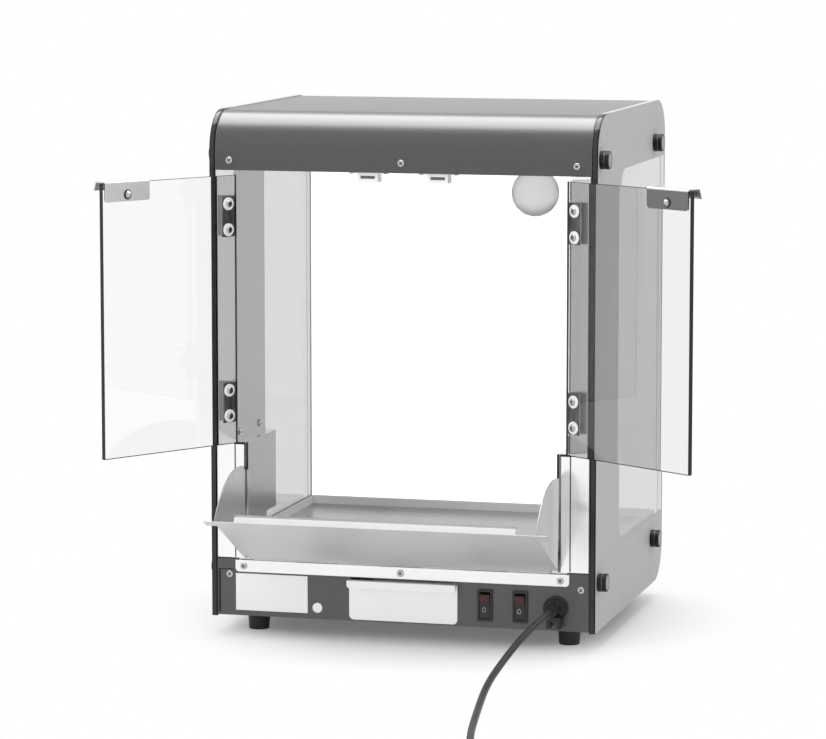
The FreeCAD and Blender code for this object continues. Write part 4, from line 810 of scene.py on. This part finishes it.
# A handle's bolt, as (radius, along) corners in millimetres
BOLT_HEAD = 2.2
BOLT_RADIUS = 2
BOLT_INTO_NUT = 2.4
BOLT_INTO_BACK = 1
BOLT_WASHER = ((5, 0), (5, 0.4), (4.8, 0.5))
BOLT_NUT = ((3.9, 0.5), (3.9, 2.0), (3.4, 2.4))
BOLT_DOME = ((2.9, 2.4), (2.6, 3.4), (1.7, 4.2), (0.7, 4.5))
BOLT_BACK = ((4, 0), (4, 1.6), (2.4, 2.2))


def clamp_bolt(mesh, points, middle, axis):
    """A bolt through a door and its handle: a washer and a domed hexagon nut on the near side."""
    heights = [(p - middle).dot(axis) for p in points]
    near, far = max(heights) - BOLT_HEAD * MM, min(heights)
    radius = BOLT_RADIUS * MM
    shank = [(radius, far + BOLT_INTO_BACK * MM), (radius, near + BOLT_INTO_NUT * MM)]
    for profile, steps, index in (
        (shank, 20, 0),
        (from_millimetres(BOLT_WASHER, near), 32, 1),
        (from_millimetres(BOLT_NUT, near), 6, 0),
        (from_millimetres(BOLT_DOME, near), 24, 0),
        (from_millimetres(BOLT_BACK, far), 24, 0),
    ):
        turned_solid(mesh, profile, middle, axis, steps, index)


def screw(mesh, points, middle, axis, rim):
    """A cross-recess screw with its shank, in the place and size of a CAD screw."""
    heights = [(p - middle).dot(axis) for p in points]
    radii = [((p - middle) - axis * h).length for p, h in zip(points, heights)]
    widest = max(radii)
    head = [h for h, r in zip(heights, radii) if r > widest * HEAD_RIM]
    if sum(head) < 0:
        axis = -axis
        heights = [-h for h in heights]
        head = [-h for h in head]
    top, under, tail = max(heights), min(head), min(heights)
    thick = top - under
    narrow = [r for h, r in zip(heights, radii) if h < under - thick * BELOW_HEAD]
    shank = max(narrow or [widest * PLAIN_SHANK])
    flat = widest * HEAD_FLAT
    profile = [
        (shank * SHANK_TIP, tail),
        (shank, tail + shank * SHANK_CHAMFER),
        (shank, under),
        (widest, under),
    ]
    for share in HEAD_ARC:
        angle = share * math.pi / 2
        radius = flat + (widest - flat) * math.cos(angle)
        profile.append((radius, under + thick * (rim + (1 - rim) * math.sin(angle))))
    ring, side, other = turned_form(mesh, profile, middle, axis, HEAD_STEPS)
    cross_recess(mesh, ring, middle + axis * top, axis, side, other, widest, thick)


def screw_heads(node, rim=FLAT_HEAD_RIM, clamped=None):
    """Screws for the CAD node's, and clamp bolts for those between the sides of a clamped box."""
    mesh = bmesh.new()
    for points in parts_of_node(node):
        middle, axis = own_line(points)
        if clamped and clamped[0].x < middle.x < clamped[1].x:
            clamp_bolt(mesh, points, middle, axis if axis.y < 0 else -axis)
        else:
            screw(mesh, points, middle, axis, rim)
    bmesh.ops.recalc_face_normals(mesh, faces=mesh.faces)
    smooth_by_angle(mesh, HEAD_SMOOTH_DEGREES)
    stand_in(node, "_heads", mesh, [STEEL_SCREW, RECESS_SHADE_AND_WASHER])


# Cabinet

PALE_FROM = FRONT + 0.06


def side_lining(word, outward):
    def faces_out(face):
        return face.normal.x * outward > ACROSS

    faced = [(LINING_OUT, faces_out)]
    refined(word + "_side_lining", LINING_IN, edge=0, faced=faced, thinned=(outward, 0.05))


for word, outward in SIDES.items():
    glass = word + "_side_glass"
    pane(glass, SIDE_GLASS, SIDE_RIM, edge=1.0, ground=EDGE_BLACK, pale_behind=PALE_FROM)
    side_lining(word, outward)
    # The pillars and guide boxes are one steel, lighter on their front faces and darker on their
    # inner faces: painted light and painted shade.
    refined(word + "_pillar", STEEL_FRONT_PAINTED_LIGHT, edge=0.3, faced=[(STEEL_SIDE_PAINTED_SHADE, faces_across)])
    refined(word + "_guide_box", STEEL_FRONT_PAINTED_LIGHT, edge=0.25, faced=[(STEEL_SIDE_PAINTED_SHADE, faces_across)])
pane("rear_glass", REAR_GLASS, PALE_RIM, edge=0.4)
refined("hood", PAINT, edge=0.3)
refined("hood_ceiling", STEEL_ACROSS, edge=0.3)
refined("base_housing", BASE_PAINT, edge=0.3)
refined("deck", STEEL_ACROSS, edge=0.2)
# The front strip's steel is lighter than the scoop's: painted light.
refined("front_strip", STEEL_STRIP_PAINTED_LIGHT, edge=0.2)
# The tray is one sheet, lighter on its walls and darker on its upward faces: painted light and
# painted shade.
refined("warming_tray", STEEL_TRAY_PAINTED_LIGHT, edge=0.4, faced=[(STEEL_TRAY_FLOOR_PAINTED_SHADE, faces_up)])
refined("heat_plate", STEEL_DULL, edge=0.3)
refined("heating_mat", SILICONE, edge=0.4)
for where in ("hood", "base", "strip", "guide", "tray", "pillar_hinge"):
    screw_heads(where + "_screws")

# Blocks on the right guide, in the cabinet's millimetres. The left guide mirrors them.
# Dark lines of painted shade along the guide's front and top; the last block is a painted shadow
# line between the pillar and the base.
PAINTED_SHADE_EDGING = (
    ((160.4, -0.35, 172.0), (162.4, 0.4, 200.0)),
    ((162.4, -0.35, 199.35), (163.8, 0.4, 200.0)),
    ((163.8, -0.35, 197.6), (175.4, 0.4, 200.0)),
    ((175.0, -0.3, 79.9), (193.0, 0.3, 81.1)),
)
# A grey line of painted shade in the gap beside the guide's plate.
PLATE_SEAM_PAINTED_SHADE = (((173.5, -0.12, 81.5), (174.9, 0.3, 198.0)),)


def guide_trim(word, side, name, finish, blocks):
    mesh = bmesh.new()
    for low, high in blocks:
        left, right = sorted((side * low[0], side * high[0]))
        cabinet_box(mesh, (left, *low[1:]), (right, *high[1:]))
    ease(fitting(f"{word}_guide_{name}", mesh, finish), 0.1)


for word, side in SIDES.items():
    guide_trim(word, side, "painted_shade_edging", PAINTED_SHADE_BLACK, PAINTED_SHADE_EDGING)
    guide_trim(word, side, "seam", SEAM_PAINTED_SHADE, PLATE_SEAM_PAINTED_SHADE)

# Lamp, catches and knobs

refined("lamp_bulb", GLOBE, edge=0)
refined("lamp_holder", CERAMIC, edge=0.4)
refined("catch_housings", WHITE_PLASTIC_PAINTED_GLOW, edge=0.3)
refined("catch_poles", STEEL_POLE, edge=0.1)
refined("knob_studs", STEEL_DULL, edge=0)
refined("knob_caps", CAP_GREY, edge=0.2)
refined("left_cap_nuts", KNOB_BLACK, edge=1.2, thinned=(SIDES["left"], 1.0))
refined("right_knobs", KNOB_BLACK, edge=0.5)

# The ring's corners: millimetres out from the knob's radius and along its axis
RING = ((-1.2, -0.4), (-0.1, -0.4), (-0.1, 0.4), (-1.2, 0.4))


def knob_rings():
    """The bright ring that lies in each knob's groove."""
    mesh = bmesh.new()
    for points in parts_of_node("right_knobs"):
        low, high = box_of(points)
        radius = (high.y - low.y) / 2
        profile = [(radius + out * MM, along * MM) for out, along in RING]
        turned_solid(mesh, profile, (low + high) / 2, Vector((1, 0, 0)), steps=40)
    fitting("knob_rings", mesh, STEEL_RING, rounded=True)


EAR_LENGTH = 3.6 * MM
EAR_DEPTHS = (2 * MM, 9 * MM)
EAR_DROPS = (1.8 * MM, 0.2 * MM)


def catch_ears():
    """The small fixing ears at both ends of each catch, close under the hood."""
    mesh = bmesh.new()
    for points in parts_of_node("catch_housings"):
        low, high = box_of(points)
        front, rear = (low.y + depth for depth in EAR_DEPTHS)
        bottom, top = (high.z - drop for drop in EAR_DROPS)
        for left, right in ((low.x - EAR_LENGTH, low.x), (high.x, high.x + EAR_LENGTH)):
            box_between(mesh, (left, front, bottom), (right, rear, top))
    ease(fitting("catch_ears", mesh, STEEL_DULL), 0.2)


BASE_PAINTED_SHADE = (
    ((-192.4, -0.12, 24.0), (-190.0, 0.3, 68.4)),
    ((-192.4, -0.12, 68.4), (-176.0, 0.3, 69.4)),
)


def base_painted_shade():
    """Dark lines of painted shade at the left end of the base's front, in its groove and under its
    band.
    """
    mesh = bmesh.new()
    for low, high in BASE_PAINTED_SHADE:
        cabinet_box(mesh, low, high)
    fitting("base_painted_shade", mesh, PAINTED_SHADE_BLACK)


knob_rings()
catch_ears()
base_painted_shade()

# Doors

PLATE_CORNER = 2 * MM
PLATE_THICKEST = 2.2 * MM
UPRIGHT = 0.3


def handle(word):
    """The bent handle, with round lower corners on its plate. The right one's plate has painted
    shade.
    """
    node = word + "_handle"
    mesh = cleaned(node)
    lowest = min(v.co.z for v in mesh.verts)
    corners = []
    for border in mesh.edges:
        level = all(v.co.z < lowest + ON_FACE for v in border.verts)
        if level and border.calc_length() < PLATE_THICKEST:
            corners.append(border)
    bmesh.ops.bevel(
        mesh,
        geom=corners,
        offset=PLATE_CORNER,
        segments=4,
        profile=ROUND_PROFILE,
        affect="EDGES",
    )
    for face in mesh.faces:
        upright = abs(face.normal.z) < UPRIGHT and face.calc_area() > MAIN_FACE_AREA
        # The right handle's upright plate faces take the darker steel: painted shade.
        face.material_index = 1 if word == "right" and upright else 0
    smooth_by_angle(mesh)
    ease(stand_in(node, "_skin", mesh, [STEEL_HANDLE, STEEL_HANDLE_PAINTED_SHADE]), 0.25)


for word in SIDES:
    pane(word + "_door_glass", DOOR_GLASS[word], DOOR_RIM, edge=0.4)
    refined(word + "_door_leaves", STEEL_HINGE, edge=0.2)
    refined(word + "_hinge_washers", NYLON_PAINTED_GLOW, edge=0.25)
    screw_heads(word + "_door_screws", DOMED_HEAD_RIM, clamped=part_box(word + "_handle"))
    handle(word)
refined("pillar_hinge_leaves", STEEL_HINGE, edge=0.2)
refined("hinge_pins", STEEL_DULL, edge=0.2)

# Scoop flap

# The scoop is one sheet: its rail's upward faces and its wings take darker copies of its steel,
# painted shade.
flap_faces = [(STEEL_RAIL_PAINTED_SHADE, faces_up), (STEEL_WING_PAINTED_SHADE, faces_across)]
refined("scoop_flap", STEEL_FLAP, edge=0.2, faced=flap_faces)
refined("flap_hinge_leaf", STEEL_FLAP, edge=0.15)
refined("flap_hinge_pin", STEEL_DULL, edge=0.1)

# Base

refined("crumb_drawer", STEEL_DRAWER, edge=0.3)
refined("drawer_runners", STEEL_DULL, edge=0.2)
refined("switch_housings", BLACK_PLASTIC, edge=0.3)
refined("cable_gland", BLACK_PLASTIC, edge=0.3)
refined("rating_plate", PLATE_WHITE, edge=0.1)
refined("feet", FOOT_RUBBER, edge=0.6)
refined("thermostat", BLACK_PLASTIC, edge=0.4)
refined("terminal_block", WHITE_PLASTIC_PAINTED_GLOW, edge=0.3)
refined("plug_body", BLACK_PLASTIC, edge=0)
refined("plug_pins", STEEL_SCREW, edge=0)

# The rocker's window and mark, in millimetres from the middle of its upper and lower face
WINDOW_SIDE_GAP = 3.1
WINDOW_SPAN = (-4.0, 4.9)
WINDOW_UP = 0.6
WINDOW_DEPTHS = (-0.3, 0.25)
MARK_ACROSS = -1.0
MARK_UP = 2.2
MARK_RADII = (2.5, 1.75)
MARK_SQUEEZE = 0.8
MARK_STEPS = 32
MARK_LIFT = 0.06
MARK_THICKNESS = 0.05


def up_along(face):
    """The upward direction in a rocker's face."""
    return Vector((0, face.normal.z, -face.normal.y))


def rocker_window(word, middle, half, face):
    """The red window, a low block let into the rocker's upper face."""
    up = up_along(face)
    centre = Vector((middle, face.center.y, face.center.z)) + up * WINDOW_UP * MM
    corners = []
    for depth in WINDOW_DEPTHS:
        for height in WINDOW_SPAN:
            for x in (-half, half):
                lifted = up * height * MM + face.normal * (depth * MM)
                corners.append(centre + Vector((x, 0, 0)) + lifted)
    mesh = bmesh.new()
    block(mesh, corners)
    name = word + "_rocker_window"
    ease(fitting(name, mesh, RED_WINDOW, rides=word + "_switch"), 0.25)


def rocker_mark(word, middle, face):
    """A plain ring, printed on the rocker's lower face."""
    up = up_along(face)
    centre = Vector((middle + MARK_ACROSS * MM, face.center.y, face.center.z))
    centre += up * MARK_UP * MM + face.normal * MARK_LIFT * MM
    mesh = bmesh.new()
    rings = []
    for radius in MARK_RADII:
        ring = []
        for n in range(MARK_STEPS):
            angle = 2 * math.pi * n / MARK_STEPS
            way = Vector((math.cos(angle) * MARK_SQUEEZE, 0, 0)) + up * math.sin(angle)
            ring.append(mesh.verts.new(centre + way * radius * MM))
        rings.append(ring)
    outer, inner = rings
    for n in range(MARK_STEPS):
        m = (n + 1) % MARK_STEPS
        mesh.faces.new((outer[n], outer[m], inner[m], inner[n]))
    bmesh.ops.solidify(mesh, geom=mesh.faces[:], thickness=MARK_THICKNESS * MM)
    fitting(word + "_rocker_mark", mesh, PRINT_WHITE, rides=word + "_switch")


def rocker(word):
    """The rocker's cap, with its red window above and a plain ring mark below."""
    skin = refined(word + "_rocker", ROCKER_BLACK, edge=0.3)
    low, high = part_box(word + "_rocker")
    middle = (low.x + high.x) / 2
    half = (high.x - low.x) / 2 - WINDOW_SIDE_GAP * MM
    faces = [f for f in skin.data.polygons if f.normal.y < -FORWARD and f.area > MAIN_FACE_AREA]
    rocker_window(word, middle, half, max(faces, key=lambda f: f.center.z))
    rocker_mark(word, middle, min(faces, key=lambda f: f.center.z))


# The gland's grip, in millimetres. A rib's ends are a depth and the radius it reaches there.
RIBS = 20
RIB_HALF = 0.55
RIB_ENDS = ((-4.0, 11.4), (-6.6, 10.6))
RIB_FOOT = 8.8
CLAMP_BLOCKS = (
    ((152.7, -12.0, 25.5), (156.5, -4.2, 36.0)),
    ((163.5, -12.0, 25.5), (167.3, -4.2, 36.0)),
    ((153.0, -12.6, 32.5), (167.0, -4.2, 37.5)),
)
GLAND_NUT = ((7.6, 4.2), (7.6, 9.5), (6.4, 11.5), (5.0, 12.2))


def gland_grip():
    """The gland's gripping ribs, its clamp's two legs and bar, and its hexagon nut."""
    low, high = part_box("cable_gland")
    centre = Vector(((low.x + high.x) / 2, FRONT, (low.z + high.z) / 2))
    mesh = bmesh.new()
    for n in range(RIBS):
        angle = 2 * math.pi * n / RIBS
        way = Vector((math.cos(angle), 0, math.sin(angle)))
        across = Vector((-math.sin(angle), 0, math.cos(angle)))
        corners = []
        for depth, reach in RIB_ENDS:
            for side in (-RIB_HALF, RIB_HALF):
                for radius in (reach, RIB_FOOT):
                    spot = centre + way * radius * MM + across * side * MM
                    corners.append(spot + Vector((0, depth * MM, 0)))
        block(mesh, corners)
    for low, high in CLAMP_BLOCKS:
        cabinet_box(mesh, low, high)
    turned_solid(mesh, from_millimetres(GLAND_NUT), centre, Vector((0, -1, 0)), steps=6)
    ease(fitting("gland_grip", mesh, BLACK_PLASTIC), 0.25)


STICKER = ((5.1, 0.0), (5.1, 0.2), (4.9, 0.3))
STICKER_PLACE = (-87.7, 0, 33)


def round_sticker():
    """A small bare white disc beside the rating plate."""
    mesh = bmesh.new()
    profile, middle = from_millimetres(STICKER), place(*STICKER_PLACE)
    turned_solid(mesh, profile, middle, Vector((0, -1, 0)), steps=48)
    fitting("round_sticker", mesh, PLATE_WHITE, rounded=True)


rocker("left")
rocker("right")
gland_grip()
round_sticker()

# Mains lead


def lead_curve():
    """The lead as one round spline along its route."""
    curve = bpy.data.curves.new("mains_lead", "CURVE")
    curve.dimensions = "3D"
    curve.bevel_depth = CORD_DIAMETER / 2 * MM
    curve.bevel_resolution = 5
    curve.resolution_u = 6
    curve.use_fill_caps = True
    route = lead_route()
    line = curve.splines.new("NURBS")
    line.points.add(len(route) - 1)
    for point, spot in zip(line.points, route):
        point.co = (*place(*spot), 1)
    line.order_u = 3
    line.use_endpoint_u = True
    curve.materials.append(LEAD_BLACK)
    return curve


lead = bpy.data.objects.new("mains_lead", lead_curve())
bpy.context.scene.collection.objects.link(lead)
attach(lead, "cabinet")
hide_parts("cord_lead", "cord_coil")

# The coil's tie, in millimetres from the coil's middle and over the floor
TIE_ACROSS = (-48.6, -24.0)
TIE_HALF = 4.0
TIE_HEIGHTS = (0.05, 15.8)
TIE_BAND = 1.0
TIE_FOOT = 0.2


def coil_tie():
    """The band that holds the put-away turns together."""
    mesh = bmesh.new()
    far, near = (COIL_X + across for across in TIE_ACROSS)
    front, rear = COIL_Y - TIE_HALF, COIL_Y + TIE_HALF
    low, high = TIE_HEIGHTS
    inner_far, inner_near = far + TIE_BAND, near - TIE_BAND
    cabinet_box(mesh, (far, front, low), (inner_far, rear, high))
    cabinet_box(mesh, (inner_near, front, low), (near, rear, high))
    cabinet_box(mesh, (inner_far, front, high - TIE_BAND), (inner_near, rear, high))
    cabinet_box(mesh, (inner_far, front, low), (inner_near, rear, low + TIE_FOOT))
    return fitting("coil_tie", mesh, FOOT_RUBBER)


plug_pieces = [bpy.data.objects["plug_body_skin"], bpy.data.objects["plug_pins_skin"], coil_tie()]
tuple(place(*LEAD[0]))

# Floor, light and background

DAYLIGHT = 0.75
THROUGH_GLASS = 1.4
NOT_MIRRORED = 0.5
FLOOR_HALF = 9
FLOOR_HEIGHT = -0.0002
FLOOR_LIFT = 0.14
SHADOW_MIDDLE = place(0, 172, 0)
SHADOW_FADES = {"From Min": 0.17, "From Max": 0.34}


def white_floor():
    """Keeps the object's shadow near it and is plain white further off."""
    f = Finish("floor white")
    cloud = f.noise((3, 3, 3))
    passed = f.path("Is Transmission Ray")
    unmirrored = f.path("Glossy Depth") < NOT_MIRRORED
    lifted = f.path("Is Camera Ray").larger(f.path("Is Glossy Ray")).larger(passed)
    ends = {0: f.here(), 1: tuple(SHADOW_MIDDLE)}
    away = f.node("ShaderNodeVectorMath", {"operation": "DISTANCE"}, ends, output="Value")
    ramp = {"interpolation_type": "SMOOTHSTEP"}
    share = f.node("ShaderNodeMapRange", ramp, {"Value": away, **SHADOW_FADES})
    matt = f.node("ShaderNodeBsdfDiffuse", {}, {"Color": f.blend(cloud, grey(0.84), grey(0.86))})
    glow = f.node("ShaderNodeEmission", {}, {"Color": WHITE, "Strength": lifted * FLOOR_LIFT})
    near = f.node("ShaderNodeAddShader", {}, {0: matt, 1: glow})
    through = 1 + passed * unmirrored * (THROUGH_GLASS - 1)
    plain = f.node("ShaderNodeEmission", {}, {"Color": WHITE, "Strength": through})
    return f.shown(f.mixed(share * lifted, near, plain))


def white_stage():
    mesh = bmesh.new()
    for x, y in ((-1, -1), (1, -1), (1, 1), (-1, 1)):
        mesh.verts.new((x * FLOOR_HALF, y * FLOOR_HALF, FLOOR_HEIGHT))
    mesh.faces.new(mesh.verts)
    data = bpy.data.meshes.new("floor")
    mesh.to_mesh(data)
    mesh.free()
    data.materials.append(white_floor())
    floor = bpy.data.objects.new("floor", data)
    bpy.context.scene.collection.objects.link(floor)


def white_world():
    """White to the eye, in mirrors and through glass, and a plain daylight on matt surfaces."""
    world = bpy.data.worlds.new("studio")
    bpy.context.scene.world = world
    world.use_nodes = True
    sky = Nodes(world.node_tree)
    unmirrored = sky.path("Glossy Depth") < NOT_MIRRORED
    passed = sky.path("Is Transmission Ray") * (unmirrored * (THROUGH_GLASS - 1) + 1)
    seen = sky.path("Is Camera Ray").larger(sky.path("Is Glossy Ray"))
    strength = seen.larger(passed).larger(DAYLIGHT)
    back = sky.node("ShaderNodeBackground", {}, {"Color": WHITE, "Strength": strength})
    sky.ends_in("ShaderNodeOutputWorld", back)


def softbox(name, spot, target, wide, high, radiance, mirrored=True, diffuse=True):
    """A lamp panel that no camera sees. Its size doesn't change how bright it looks."""
    lamp = bpy.data.lights.new(name, "AREA")
    lamp.shape = "RECTANGLE"
    lamp.size = wide
    lamp.size_y = high
    lamp.energy = radiance * math.pi * wide * high
    made = bpy.data.objects.new(name, lamp)
    bpy.context.scene.collection.objects.link(made)
    made.location = spot
    aim = Vector(target) - Vector(spot)
    made.rotation_euler = aim.to_track_quat("-Z", "Y").to_euler()
    made.visible_camera = False
    made.visible_transmission = False
    made.visible_glossy = mirrored
    made.visible_diffuse = diffuse


white_stage()
white_world()
softbox(
    "overhead_softbox",
    spot=(0, 0.3, 2.3),
    target=(0, 0, 0.5),
    wide=1.4,
    high=0.7,
    radiance=6.0,
    mirrored=False,
)
softbox(
    "front_softbox",
    spot=(-1.2, -2.4, 1.5),
    target=(0, 0, 0.3),
    wide=1.2,
    high=1.2,
    radiance=4.0,
    mirrored=False,
)
softbox(
    "highlight_bank",
    spot=(0, 0.575, 2.6),
    target=(0, 0.576, 0.5),
    wide=3.0,
    high=2.25,
    radiance=7.2,
    diffuse=False,
)

bpy.context.scene.view_settings.view_transform = "Standard"

bpy.context.view_layer.update()
